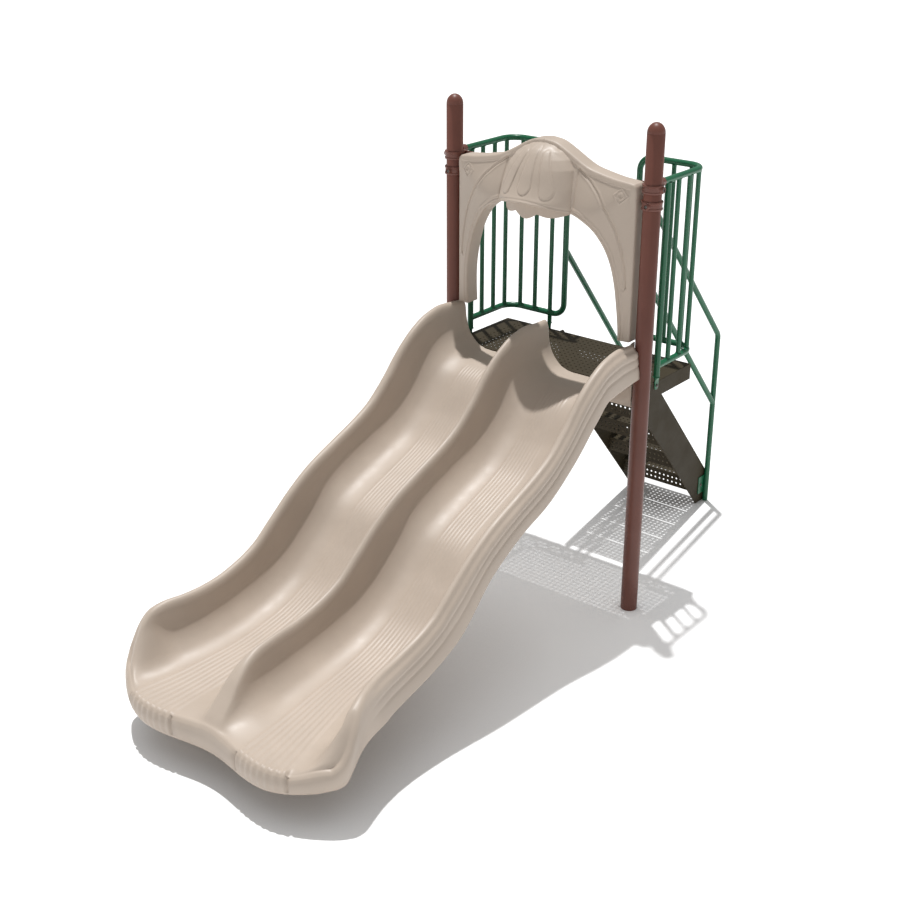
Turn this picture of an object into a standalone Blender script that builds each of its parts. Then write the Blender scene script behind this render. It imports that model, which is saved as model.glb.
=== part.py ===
"""Double wave slide with its platform: two posts, deck, stair, handrails, barriers, arch panel and a
two-lane moulded slide. Metres, +Z up. The slide runs down towards -Y, the stair rises from +Y."""

import math

import bmesh
import bpy
from mathutils import Vector

# ---------------------------------------------------------------- driving dimensions
GAP = 0.0003                    # clearance left between touching pieces
POST_LINE_Y = 0.5383            # puts the origin in the middle of the whole length
POST_X = 0.6096                 # posts stand 4 ft apart
POST_R = 0.04445                # 3.5 in tube
POST_WALL = 0.0032
POST_TOP = 2.566
CAP_TOP = 2.617
COLLAR_UPPER_Z = 2.302
COLLAR_LOWER_Z = 2.222
COLLAR_HEIGHT = 0.044
COLLAR_WALL = 0.0085
BOSS_REACH = 0.0625             # from the post's axis to the face of a collar's boss
PANEL_LUG_X = 0.517             # inner end of the lugs behind the arch panel
SOCKET_END = 0.088              # depth of the socket that holds a barrier's top rail
DECK_TOP = 1.2668
DECK_DEPTH = 0.085
DECK_REAR = 0.493
DECK_HALF = 0.6096
DECK_NOTCH_X = 0.5530
DECK_NOTCH_Y = 0.0545
SHEET = 0.003
STRINGER_X = 0.2415             # outer face
STRINGER_THICK = 0.006
STAIR_SLOPE = 1.152             # rise over run
STAIR_END = 1.449
TREADS = 5
TREAD_DEPTH = 0.188
TREAD_LIP = 0.085               # depth of a tread pan's front and rear flanges
RAIL_R = 0.0165
PICKET_R = 0.0125
BARRIER_REAR = 0.502
BARRIER_TOP = 2.320
BARRIER_BOTTOM = 1.357
BARRIER_BEND = 0.090
BARRIER_END_X = 0.2252
BARRIER_END_BEND = 0.070
FRONT_TUBE_Y = 0.142
SIDE_PICKETS_Y = (0.243, 0.348, 0.447)
REAR_PICKETS_X = (0.530, 0.427, 0.320)
HANDRAIL_X = 0.2585
HANDRAIL_Y = 1.437
HANDRAIL_BEND_Z = 1.10
HANDRAIL_TOP_Z = 2.150
HANDRAIL_END_X = 0.238           # the upper ends lean in to meet the barriers
HANDRAIL_END_Y = 0.5315
HANDRAIL_LOW_FROM_Z = 0.66
HANDRAIL_LOW_TO_Z = 1.72
PANEL_FRONT = -0.045
PANEL_BACK = 0.035
PANEL_BOTTOM = 1.519
PANEL_BULGE = 0.070             # how far the panel swells forward along its opening
PANEL_DEPTH = 0.080             # thickness of the shell over the middle
VALANCE_X = 0.198               # half width of the scalloped strip behind the shell's lip
SLIDE_WALL = 0.007
SLIDE_HEAD_X = 0.556            # half width between the posts
SLIDE_FLANGE_Z = 1.160
LIP_Z = 0.274
LEG_X = 0.200
LEG_Y = -1.930
EXIT_START = -1.93
SIDE_END = -2.37

# Heights of the slide along its length: (y, z).
BED = ((0.10, 1.262), (-0.16, 1.262), (-0.28, 1.228), (-0.50, 1.034), (-0.65, 0.930), (-0.85, 0.848),
       (-1.00, 0.791), (-1.12, 0.733), (-1.30, 0.582), (-1.50, 0.441), (-1.70, 0.366), (-1.95, 0.322),
       (-2.50, LIP_Z))
CREST = ((0.10, 1.514), (-0.06, 1.514), (-0.17, 1.522), (-0.28, 1.503), (-0.38, 1.460), (-0.50, 1.375),
         (-0.62, 1.250), (-0.75, 1.142), (-0.87, 1.080), (-1.02, 1.020), (-1.20, 0.946), (-1.35, 0.858),
         (-1.50, 0.745), (-1.62, 0.655), (-1.75, 0.603), (-1.90, 0.570), (-2.05, 0.557), (-2.14, 0.552),
         (-2.215, 0.534), (-2.262, 0.485), (-2.305, 0.395), (-2.34, 0.325), (-2.37, 0.288))
SKIRT = ((0.10, 1.350), (-0.31, 1.310), (-0.42, 1.228), (-0.60, 1.072), (-0.82, 0.930), (-1.02, 0.853),
         (-1.24, 0.730), (-1.50, 0.500), (-1.76, 0.400), (-2.07, 0.335), (-2.13, 0.315), (-2.18, 0.285),
         (-2.23, 0.235), (-2.28, 0.205), (-2.37, 0.200))
DIVIDER_END = ((-1.80, 0.592), (-1.90, 0.570), (-2.05, 0.556), (-2.15, 0.543), (-2.241, 0.508),
               (-2.307, 0.456), (-2.358, 0.396), (-2.428, 0.320), (-2.46, 0.286))
# Half width to the crest of an outer rail: (y, x). The rails splay outwards at the exit.
RAIL_LINE = ((0.10, SLIDE_HEAD_X), (0.00, SLIDE_HEAD_X), (-0.05, 0.567), (-1.80, 0.567), (-1.95, 0.575),
             (-2.05, 0.592), (-2.13, 0.617), (-2.215, 0.650), (-2.262, 0.667), (-2.305, 0.674),
             (-2.34, 0.663), (-2.37, 0.640), (-2.39, 0.615))
# Inner face of a rail or of the divider: (distance from its crest, share of its height).
WALL = ((0.000, 1.00), (0.014, 0.97), (0.025, 0.86), (0.031, 0.62), (0.050, 0.36), (0.088, 0.16),
        (0.130, 0.045), (0.180, 0.0))
# Outer face of a rail, of its tucked-in end, and of the exit lip: (distance out, share of the drop).
FLANK = ((0.018, 0.04), (0.030, 0.15), (0.043, 0.32), (0.048, 0.55), (0.054, 0.75), (0.057, 1.0))
FLANK_EXIT = ((0.020, 0.035), (0.031, 0.15), (0.032, 0.26), (0.023, 0.55), (0.008, 0.80), (-0.010, 1.0))
LIP = ((0.014, 0.06), (0.026, 0.20), (0.032, 0.42), (0.032, 0.62), (0.027, 0.85), (0.018, 1.0))
# The arch panel: pairs of (x, z), on the opening's edge and on the outer edge, from a foot to the middle.
PANEL_STATIONS = (((0.478, 1.519), (0.547, 1.519)), ((0.477, 1.600), (0.547, 1.610)),
                  ((0.456, 1.800), (0.547, 1.850)), ((0.430, 1.902), (0.547, 1.980)),
                  ((0.394, 1.984), (0.547, 2.100)), ((0.350, 2.047), (0.547, 2.210)),
                  ((0.323, 2.074), (0.547, 2.285)), ((0.304, 2.089), (0.537, 2.312)),
                  ((0.286, 2.101), (0.512, 2.320)), ((0.257, 2.118), (0.430, 2.328)),
                  ((0.234, 2.128), (0.335, 2.345)), ((0.213, 2.135), (0.270, 2.361)),
                  ((0.197, 2.143), (0.240, 2.373)), ((0.165, 2.156), (0.192, 2.399)),
                  ((0.131, 2.166), (0.152, 2.421)), ((0.097, 2.173), (0.113, 2.441)),
                  ((0.062, 2.179), (0.072, 2.459)), ((0.032, 2.182), (0.037, 2.468)),
                  ((0.000, 2.183), (0.000, 2.470)))
# The shell over the middle: how far forward it reaches at each height, and its half width there.
SHELL_REACH = ((2.135, -0.275), (2.183, -0.262), (2.218, -0.237), (2.257, -0.215), (2.326, -0.184),
               (2.389, -0.145), (2.424, -0.112), (2.441, -0.076), (2.455, -0.045))
SHELL_WIDTH = ((2.135, 0.213), (2.250, 0.209), (2.340, 0.196), (2.385, 0.165), (2.420, 0.118),
               (2.442, 0.066), (2.455, 0.001))


# ---------------------------------------------------------------- helpers
def clear_scene():
    for obj in list(bpy.data.objects):
        bpy.data.objects.remove(obj, do_unlink=True)


def new_collection(name):
    collection = bpy.data.collections.new(name)
    bpy.context.scene.collection.children.link(collection)
    return collection


def new_material(name, colour, roughness, metallic=0.0):
    material = bpy.data.materials.new(name)
    material.use_nodes = True
    shader = material.node_tree.nodes["Principled BSDF"]
    shader.inputs["Base Color"].default_value = (*colour, 1.0)
    shader.inputs["Roughness"].default_value = roughness
    shader.inputs["Metallic"].default_value = metallic
    return material


def place(obj, material):
    """Put a piece in the slide's collection, on the empty that carries the whole slide."""
    for owner in list(obj.users_collection):
        owner.objects.unlink(obj)
    PIECES.objects.link(obj)
    obj.parent = BASE
    obj.data.materials.clear()
    obj.data.materials.append(material)
    return obj


def object_from_bmesh(name, bm, material):
    bmesh.ops.recalc_face_normals(bm, faces=bm.faces)
    mesh = bpy.data.meshes.new(name)
    bm.to_mesh(mesh)
    bm.free()
    return place(bpy.data.objects.new(name, mesh), material)


def box(name, low, high, material, bevel=0.0):
    low, high = Vector(low), Vector(high)
    bm = bmesh.new()
    bmesh.ops.create_cube(bm, size=1.0)
    bmesh.ops.scale(bm, vec=high - low, verts=bm.verts)
    bmesh.ops.translate(bm, vec=(low + high) / 2, verts=bm.verts)
    obj = object_from_bmesh(name, bm, material)
    if bevel:
        rounding = obj.modifiers.new("rounding", "BEVEL")
        rounding.width = bevel
        rounding.segments = 1
    return obj


def cylinder(name, centre, radius, depth, axis, material, sides=16):
    bm = bmesh.new()
    bmesh.ops.create_cone(bm, cap_ends=True, segments=sides, radius1=radius, radius2=radius, depth=depth)
    turn = Vector((0, 0, 1)).rotation_difference(Vector(axis))
    bmesh.ops.rotate(bm, cent=(0, 0, 0), matrix=turn.to_matrix(), verts=bm.verts)
    bmesh.ops.translate(bm, vec=centre, verts=bm.verts)
    return object_from_bmesh(name, bm, material)


def turned(name, profile, centre, material, steps=20):
    """A solid of revolution about a vertical axis. The profile runs down its outer side."""
    bm = bmesh.new()
    verts = [bm.verts.new((r, 0, z)) for r, z in profile]
    for a, b in zip(verts, verts[1:]):
        bm.edges.new((a, b))
    mesh = bpy.data.meshes.new(name)
    bm.to_mesh(mesh)
    bm.free()
    obj = place(bpy.data.objects.new(name, mesh), material)
    obj.location = centre
    screw = obj.modifiers.new("turn", "SCREW")
    screw.steps = steps
    screw.render_steps = steps
    screw.use_merge_vertices = True
    screw.merge_threshold = 0.0001
    return obj


def extruded(name, outline, thickness, material):
    """A closed outline in a plane: points are 3-D, and thickness is the vector it is pushed along."""
    bm = bmesh.new()
    face = bm.faces.new([bm.verts.new(point) for point in outline])
    pushed = bmesh.ops.extrude_face_region(bm, geom=[face])["geom"]
    moved = [item for item in pushed if isinstance(item, bmesh.types.BMVert)]
    bmesh.ops.translate(bm, vec=thickness, verts=moved)
    return object_from_bmesh(name, bm, material)


def rounded_path(points, radius, steps=5):
    """The points joined by straight runs, with an arc of the given radius at each corner."""
    points = [Vector(point) for point in points]
    path = [points[0]]
    for before, corner, after in zip(points, points[1:], points[2:]):
        back = (before - corner).normalized()
        ahead = (after - corner).normalized()
        half = back.angle(ahead) / 2
        reach = radius / math.tan(half)
        centre = corner + (back + ahead).normalized() * radius / math.sin(half)
        start = corner + back * reach - centre
        end = corner + ahead * reach - centre
        sweep = start.angle(end)
        for k in range(steps + 1):
            t = k / steps
            mixed = math.sin((1 - t) * sweep) * start + math.sin(t * sweep) * end
            path.append(centre + mixed / math.sin(sweep))
    path.append(points[-1])
    return path


def tube(name, path, radius, material, resolution=2):
    """A round bar or tube along a path."""
    data = bpy.data.curves.new(name, "CURVE")
    data.dimensions = "3D"
    spline = data.splines.new("POLY")
    spline.points.add(len(path) - 1)
    for point, place_of_it in zip(spline.points, path):
        point.co = (*place_of_it, 1.0)
    data.bevel_depth = radius
    data.bevel_resolution = resolution
    data.use_fill_caps = True
    return place(bpy.data.objects.new(name, data), material)


def to_mesh(obj):
    """A curve object's surface as a mesh with its caps welded on."""
    bpy.context.view_layer.update()
    evaluated = obj.evaluated_get(bpy.context.evaluated_depsgraph_get())
    mesh = bpy.data.meshes.new_from_object(evaluated)
    bm = bmesh.new()
    bm.from_mesh(mesh)
    bmesh.ops.remove_doubles(bm, verts=bm.verts, dist=0.00005)
    bm.to_mesh(mesh)
    bm.free()
    name = obj.name
    material = obj.data.materials[0]
    bpy.data.objects.remove(obj, do_unlink=True)
    return place(bpy.data.objects.new(name, mesh), material)


def boolean(obj, tool, operation):
    """Join or cut a piece with a tool, which then stays out of the model."""
    step = obj.modifiers.new(operation.lower(), "BOOLEAN")
    step.operation = operation
    step.solver = "EXACT"
    step.object = tool
    PIECES.objects.unlink(tool)
    CUTTERS.objects.link(tool)
    tool.hide_render = True
    tool.display_type = "WIRE"


def curve_through(points):
    """A smooth function through (place, value) pairs given in order of place."""
    def slope(i):
        if i in (0, len(points) - 1):
            return 0.0
        (y0, v0), (y1, v1), (y2, v2) = points[i - 1:i + 2]
        before = (v1 - v0) / (y1 - y0)
        after = (v2 - v1) / (y2 - y1)
        if before * after <= 0:
            return 0.0
        return 2 * before * after / (before + after)

    def value(y):
        for i in range(len(points) - 1):
            (y0, v0), (y1, v1) = points[i], points[i + 1]
            if (y - y1) * (y1 - y0) <= 0 or i == len(points) - 2:
                span = y1 - y0
                t = min(max((y - y0) / span, 0.0), 1.0)
                a = (2 * t ** 3 - 3 * t ** 2 + 1) * v0 + (t ** 3 - 2 * t ** 2 + t) * span * slope(i)
                b = (3 * t ** 2 - 2 * t ** 3) * v1 + (t ** 3 - t ** 2) * span * slope(i + 1)
                return a + b
    return value


def ease(value, low, high):
    """0 below low, 1 above high, and a smooth rise between them."""
    t = min(max((value - low) / (high - low), 0.0), 1.0)
    return t * t * (3 - 2 * t)


# ---------------------------------------------------------------- posts and collars
def posts(side, sign):
    x = sign * POST_X
    inner = POST_R - POST_WALL
    turned(f"post_{side}", [(POST_R, POST_TOP), (POST_R, 0), (inner, 0), (inner, POST_TOP),
                            (POST_R, POST_TOP)], (x, 0, 0), STEEL_BROWN, 24)
    dome = [(POST_R * math.sin(math.radians(a)),
             POST_TOP + GAP + (CAP_TOP - POST_TOP) * math.cos(math.radians(a))) for a in range(0, 91, 15)]
    spigot = inner - GAP
    plug = [(spigot, POST_TOP + GAP), (spigot, POST_TOP - 0.03), (0, POST_TOP - 0.03)]
    turned(f"post_cap_{side}", dome + plug, (x, 0, 0), STEEL_BROWN, 24)


def collar_half(name, sign, z, first_angle, lugs):
    """Half of a cast clamp around a post. Angles are in degrees from straight out, rearwards positive."""
    inner = POST_R + GAP
    outer = inner + COLLAR_WALL
    low = z - COLLAR_HEIGHT / 2
    steps = 12
    clearance = math.degrees(GAP / inner)
    first, last = first_angle + clearance, first_angle + 180 - clearance
    ring = []
    for radius, order in ((outer, range(steps + 1)), (inner, range(steps, -1, -1))):
        for k in order:
            angle = math.radians(first + (last - first) * k / steps)
            ring.append((sign * (POST_X + radius * math.cos(angle)), radius * math.sin(angle), low))
    half = extruded(name, ring, (0, 0, COLLAR_HEIGHT), STEEL_BROWN)
    for operation, tool in lugs:
        boolean(half, tool, operation)


def collar(side, sign, level, z, boss_angle, socket):
    """A clamp: the front half carries a boss for its bolt, the rear half a lug that holds the panel."""
    turn = math.radians(boss_angle)
    out = Vector((sign * math.cos(turn), math.sin(turn), 0))
    axis = Vector((sign * POST_X, 0, z))

    def round_piece(name, radius, near, far, sides=16):
        return cylinder(f"collar_{level}_{side}_{name}", axis + out * (near + far) / 2, radius, far - near,
                        out, STEEL_BROWN, sides)

    ring = POST_R + GAP + COLLAR_WALL
    boss = round_piece("boss", 0.0145, ring - 0.006, BOSS_REACH)
    well = round_piece("well", 0.0095, BOSS_REACH - 0.0065, BOSS_REACH + 0.01)
    collar_half(f"collar_{level}_{side}_front", sign, z, -135, (("UNION", boss), ("DIFFERENCE", well)))

    wide = (sign * PANEL_LUG_X, sign * (POST_X - 0.028))
    lug = box(f"collar_{level}_{side}_lug", (min(wide), PANEL_BACK + GAP, z - 0.018),
              (max(wide), PANEL_BACK + GAP + 0.008, z + 0.018), STEEL_BROWN)
    lugs = [("UNION", lug)]
    if socket:
        rear = Vector((sign * POST_X, 0, BARRIER_TOP))
        cup = cylinder(f"collar_{level}_{side}_cup", rear + Vector((0, (ring - 0.006 + SOCKET_END) / 2, 0)),
                       RAIL_R + 0.0055, SOCKET_END - ring + 0.006, (0, 1, 0), STEEL_BROWN, 16)
        hole = cylinder(f"collar_{level}_{side}_mouth", rear + Vector((0, ring + 0.002 + 0.05, 0)),
                        RAIL_R + GAP, 0.1, (0, 1, 0), STEEL_BROWN, 24)
        lugs += [("UNION", cup), ("DIFFERENCE", hole)]
    collar_half(f"collar_{level}_{side}_rear", sign, z, 45, lugs)
    cylinder(f"collar_bolt_{level}_{side}", axis + out * (BOSS_REACH - 0.0045 + GAP), 0.0085, 0.004, out,
             BOLT_STEEL, 12)


def collars(side, sign):
    collar(side, sign, "upper", COLLAR_UPPER_Z, 0, True)
    collar(side, sign, "lower", COLLAR_LOWER_Z, -90, False)


# ---------------------------------------------------------------- deck and stair
def deck():
    def outline(inset, z):
        half, notch_x, notch_y = DECK_HALF - inset, DECK_NOTCH_X - inset, DECK_NOTCH_Y + inset
        front, rear = GAP + inset, DECK_REAR - inset
        right = [(notch_x, front, z), (notch_x, notch_y, z), (half, notch_y, z), (half, rear, z)]
        return right + [(-x, y, z) for x, y, z in reversed(right)]

    pan = extruded("deck", outline(0, DECK_TOP - DECK_DEPTH), (0, 0, DECK_DEPTH), STEEL_BRONZE)
    hollow = extruded("deck_hollow", outline(SHEET, DECK_TOP - DECK_DEPTH - 0.01),
                      (0, 0, DECK_DEPTH + 0.01 - SHEET), STEEL_BRONZE)
    boolean(pan, hollow, "DIFFERENCE")
    for side, sign in SIDES:
        near, far = sign * (DECK_NOTCH_X + GAP), sign * (POST_X - POST_R - GAP)
        box(f"deck_bracket_{side}", (min(near, far), 0.001, DECK_TOP - 0.080),
            (max(near, far), 0.050, DECK_TOP - 0.004), STEEL_BRONZE)


def stair():
    front = DECK_REAR + GAP
    top = DECK_TOP - GAP
    upper_y = 0.858 - (top - 0.880) / STAIR_SLOPE
    lower_z = 0.681 + (0.761 - front) * STAIR_SLOPE
    lower_y = 0.761 + 0.681 / STAIR_SLOPE
    upper_end_z = 0.880 - (STAIR_END - 0.858) * STAIR_SLOPE
    profile = [(front, top), (upper_y, top), (STAIR_END, upper_end_z), (STAIR_END, 0), (lower_y, 0),
               (front, lower_z)]
    for side, sign in SIDES:
        x = sign * STRINGER_X
        extruded(f"stringer_{side}", [(x, y, z) for y, z in profile], (-sign * STRINGER_THICK, 0, 0),
                 STEEL_BRONZE)
    half = STRINGER_X - STRINGER_THICK - GAP
    for k in range(1, TREADS + 1):
        z = k * DECK_TOP / (TREADS + 1)
        rear = 1.0715 + (0.6334 - z) / STAIR_SLOPE
        lead = max(rear - TREAD_DEPTH, front + 0.004)
        channel = [(lead, z - TREAD_LIP), (lead, z), (rear, z), (rear, z - TREAD_LIP),
                   (rear - SHEET, z - TREAD_LIP), (rear - SHEET, z - SHEET), (lead + SHEET, z - SHEET),
                   (lead + SHEET, z - TREAD_LIP)]
        extruded(f"tread_{k}", [(-half, y, zz) for y, zz in channel], (2 * half, 0, 0), STEEL_BRONZE)


# ---------------------------------------------------------------- barriers and handrails
def barrier(side, sign):
    x = sign * POST_X
    collar_face = POST_R + COLLAR_WALL + 0.003 + GAP
    end_x = sign * BARRIER_END_X
    corner_top = [(x, collar_face, BARRIER_TOP), (x, BARRIER_REAR, BARRIER_TOP),
                  (sign * 0.38, BARRIER_REAR, BARRIER_TOP)]
    run_top = rounded_path(corner_top, BARRIER_BEND)
    end = [(sign * 0.34, BARRIER_REAR, BARRIER_TOP), (end_x, BARRIER_REAR, BARRIER_TOP),
           (end_x, BARRIER_REAR, BARRIER_BOTTOM), (sign * 0.34, BARRIER_REAR, BARRIER_BOTTOM)]
    end_bend = rounded_path(end, BARRIER_END_BEND)
    corner_low = [(sign * 0.38, BARRIER_REAR, BARRIER_BOTTOM), (x, BARRIER_REAR, BARRIER_BOTTOM),
                  (x, FRONT_TUBE_Y + RAIL_R + GAP, BARRIER_BOTTOM)]
    run_low = rounded_path(corner_low, BARRIER_BEND)
    tube(f"barrier_frame_{side}", run_top[:-1] + end_bend[1:-1] + run_low[1:], RAIL_R, STEEL_GREEN)

    low = BARRIER_BOTTOM + RAIL_R + GAP
    high = BARRIER_TOP - RAIL_R - GAP
    foot_z = DECK_TOP + 0.030
    upright = cylinder(f"barrier_front_tube_{side}", (x, FRONT_TUBE_Y, (foot_z + high) / 2), RAIL_R,
                       high - foot_z, (0, 0, 1), STEEL_GREEN, 12)
    face = sign * (DECK_HALF + GAP)
    tab_face = face + sign * 0.005
    tab = box(f"barrier_front_tube_{side}_tab", (min(face, tab_face), FRONT_TUBE_Y - 0.018, 1.227),
              (max(face, tab_face), FRONT_TUBE_Y + 0.018, foot_z + 0.012), STEEL_GREEN)
    boolean(upright, tab, "UNION")

    bend_y = BARRIER_REAR - BARRIER_BEND
    for k, y in enumerate(SIDE_PICKETS_Y, 1):
        reach = math.sqrt(BARRIER_BEND ** 2 - max(y - bend_y, 0) ** 2)
        picket_x = x - sign * (BARRIER_BEND - reach)
        cylinder(f"barrier_side_picket_{side}_{k}", (picket_x, y, (low + high) / 2),
                 PICKET_R, high - low, (0, 0, 1), STEEL_GREEN, 12)
    for k, picket_x in enumerate(REAR_PICKETS_X, 1):
        cylinder(f"barrier_rear_picket_{side}_{k}", (sign * picket_x, BARRIER_REAR, (low + high) / 2),
                 PICKET_R, high - low, (0, 0, 1), STEEL_GREEN, 12)

    foot_x = sign * REAR_PICKETS_X[-1]
    under = BARRIER_BOTTOM - RAIL_R - GAP
    foot = cylinder(f"barrier_foot_{side}", (foot_x, BARRIER_REAR, (under + foot_z) / 2), PICKET_R,
                    under - foot_z, (0, 0, 1), STEEL_GREEN, 12)
    plate = box(f"barrier_foot_{side}_plate", (foot_x - 0.020, DECK_REAR + GAP, 1.205),
                (foot_x + 0.020, DECK_REAR + GAP + 0.005, foot_z + 0.012), STEEL_GREEN)
    boolean(foot, plate, "UNION")

    bolt_from = face + sign * (0.005 + GAP)
    cylinder(f"barrier_side_bolt_{side}", (bolt_from + sign * 0.003, FRONT_TUBE_Y, 1.2505), 0.009, 0.006,
             (1, 0, 0), BOLT_STEEL, 12)
    cylinder(f"barrier_foot_bolt_{side}", (foot_x, DECK_REAR + 2 * GAP + 0.008, 1.232), 0.009, 0.006,
             (0, 1, 0), BOLT_STEEL, 12)


def handrail(side, sign):
    x = sign * HANDRAIL_X
    end_x = sign * HANDRAIL_END_X
    path = rounded_path([(x, HANDRAIL_Y, 0), (x, HANDRAIL_Y, HANDRAIL_BEND_Z),
                         (end_x, HANDRAIL_END_Y, HANDRAIL_TOP_Z)], 0.060)
    rail = to_mesh(tube(f"handrail_{side}", path, RAIL_R, STEEL_GREEN))
    face = sign * (STRINGER_X + GAP)
    plate = box(f"handrail_{side}_plate", (min(face, face + sign * 0.006), HANDRAIL_Y - 0.075, 0.060),
                (max(face, face + sign * 0.006), HANDRAIL_Y, 0.175), STEEL_GREEN)
    boolean(rail, plate, "UNION")
    low = Vector((x, HANDRAIL_Y, HANDRAIL_LOW_FROM_Z))
    high = Vector((end_x, HANDRAIL_END_Y, HANDRAIL_LOW_TO_Z))
    angle = math.atan2(high.z - low.z, low.y - high.y)
    clear = RAIL_R + GAP + RAIL_R * math.sin(angle)
    start = low.lerp(high, clear / (low.y - high.y))
    tube(f"handrail_lower_{side}", [start, high], RAIL_R, STEEL_GREEN)
    bolt_from = face + sign * (0.006 + GAP)
    cylinder(f"handrail_bolt_{side}", (bolt_from + sign * 0.003, HANDRAIL_Y - 0.050, 0.118), 0.009, 0.006,
             (1, 0, 0), BOLT_STEEL, 12)


# ---------------------------------------------------------------- arch panel
def shell_front(x, z, behind):
    """How far forward the shell reaches: a rounded bulge in plan at each height, before the face."""
    half = curve_through(SHELL_WIDTH)(z)
    if x >= half or z >= SHELL_WIDTH[-1][0]:
        return behind
    reach = curve_through(SHELL_REACH)(z)
    return behind + min(reach - behind, 0.0) * (1 - (x / half) ** 2) ** 0.72


def valance_edge(x):
    """Height of the lower edge of the scalloped strip that hangs behind the shell's lip."""
    if x < 0.062:
        return 2.124 - 0.029 * math.cos(math.pi * x / 0.124)
    return 2.127 - 0.018 * math.cos(math.pi * (x - 0.131) / 0.142)


def arch_panel():
    """Front and back skins of the panel, lofted round its rim. The shell swells forward over the lanes."""
    across = 6
    bm = bmesh.new()
    rings = []
    for (in_x, in_z), (out_x, out_z) in PANEL_STATIONS:
        bulge = 0.018 + (PANEL_BULGE - 0.018) * ease(0.50 - in_x, 0.0, 0.285)
        bulge *= ease(in_z, PANEL_BOTTOM - 0.06, PANEL_BOTTOM + 0.25)
        front = []
        back = []
        for k in range(across + 1):
            t = k / across
            x, z = in_x + (out_x - in_x) * t, in_z + (out_z - in_z) * t
            y = shell_front(x, z, PANEL_FRONT - bulge * max(math.cos(math.pi / 2 * t), 0.0) ** 1.3)
            front.append(bm.verts.new((x, y, z)))
            back.append(bm.verts.new((x, min(PANEL_BACK, y + PANEL_DEPTH), z)))
        hem_z = valance_edge(in_x) if in_x < VALANCE_X else in_z
        near, far = front[0].co.y, back[0].co.y
        hem = [bm.verts.new((in_x, far - 0.004, hem_z)),
               bm.verts.new((in_x, near + (far - near) * 0.80, hem_z)),
               bm.verts.new((in_x, near + (far - near) * 0.79, in_z + 0.0004))]
        rings.append(front + back[::-1] + hem)
    for lower, upper in zip(rings, rings[1:]):
        for k in range(len(lower)):
            following = (k + 1) % len(lower)
            bm.faces.new((lower[k], lower[following], upper[following], upper[k]))
    bm.faces.new(rings[0])
    panel = object_from_bmesh("arch_panel", bm, PLASTIC_BEIGE)
    mirror = panel.modifiers.new("other half", "MIRROR")
    mirror.use_axis = (True, False, False)
    mirror.merge_threshold = 0.0001


# ---------------------------------------------------------------- slide
def slide_rows():
    """Distances down the slide at which its section is drawn, from the head to where the exit begins."""
    rows = [0.0, -0.022, -0.050, -0.110, -0.170, -0.230, -0.280]
    while rows[-1] > EXIT_START + 0.075:
        rows.append(rows[-1] - 0.075)
    return rows + [EXIT_START]


def lane_columns(rail_x):
    """Half of the slide's section: (x, distance from the divider's crest, distance from the rail's)."""
    columns = [(distance, distance, 1.0) for distance, _ in WALL]
    columns.append((rail_x / 2, 1.0, 1.0))
    columns += [(rail_x - distance, 1.0, distance) for distance, _ in reversed(WALL)]
    return columns


def lip_y(x):
    """The exit's front edge: a rounded lobe before each lane and a shallow recess between them."""
    if x < 0.36:
        return -2.4775 - 0.0225 * math.cos(math.pi * (0.36 - x) / 0.36)
    return -2.500 + 0.13 * ((x - 0.36) / 0.28) ** 1.9


def slide_grid():
    """Points of the lanes' upper surface, row by row from the head to the lip, and where each row lies."""
    bed, crest, rail_line = curve_through(BED), curve_through(CREST), curve_through(RAIL_LINE)
    divider_end, wall = curve_through(DIVIDER_END), curve_through(WALL)

    def share(distance):
        return wall(max(distance, 0.0)) if distance < WALL[-1][0] else 0.0

    grid = []
    for y in slide_rows():
        rise = crest(y) - bed(y)
        grid.append([Vector((x, y, bed(y) + rise * max(share(divider), share(rail))))
                     for x, divider, rail in lane_columns(rail_line(y))])
    exit_rows = 13
    end_columns = lane_columns(rail_line(SIDE_END))
    for k in range(1, exit_rows + 1):
        t = 1 - (1 - k / exit_rows) ** 1.25
        side_y = EXIT_START + (SIDE_END - EXIT_START) * t
        points = []
        for (x, divider, rail), (end_x, _, _) in zip(lane_columns(rail_line(side_y)), end_columns):
            y = EXIT_START + (lip_y(end_x) - EXIT_START) * t
            blunt = ease(-y, 2.12, 2.44)
            z = bed(y) + (divider_end(y) - bed(y)) * share((divider - 0.016 * blunt) / (1 + 0.45 * blunt))
            z += (crest(side_y) - bed(side_y)) * share(rail - 0.008 * ease(t, 0.6, 1.0))
            points.append(Vector((x, y, z)))
        grid.append(points)
    return grid


def plan_direction(edge, arc, k, reach):
    """Which way the slide's outer edge runs in plan at point k, averaged over a stretch of it."""
    first = next((j for j in range(k, -1, -1) if arc[k] - arc[j] >= reach), 0)
    last = next((j for j in range(k, len(edge)) if arc[j] - arc[k] >= reach), len(edge) - 1)
    return (edge[last].co - edge[first].co).to_2d().normalized()


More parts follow.
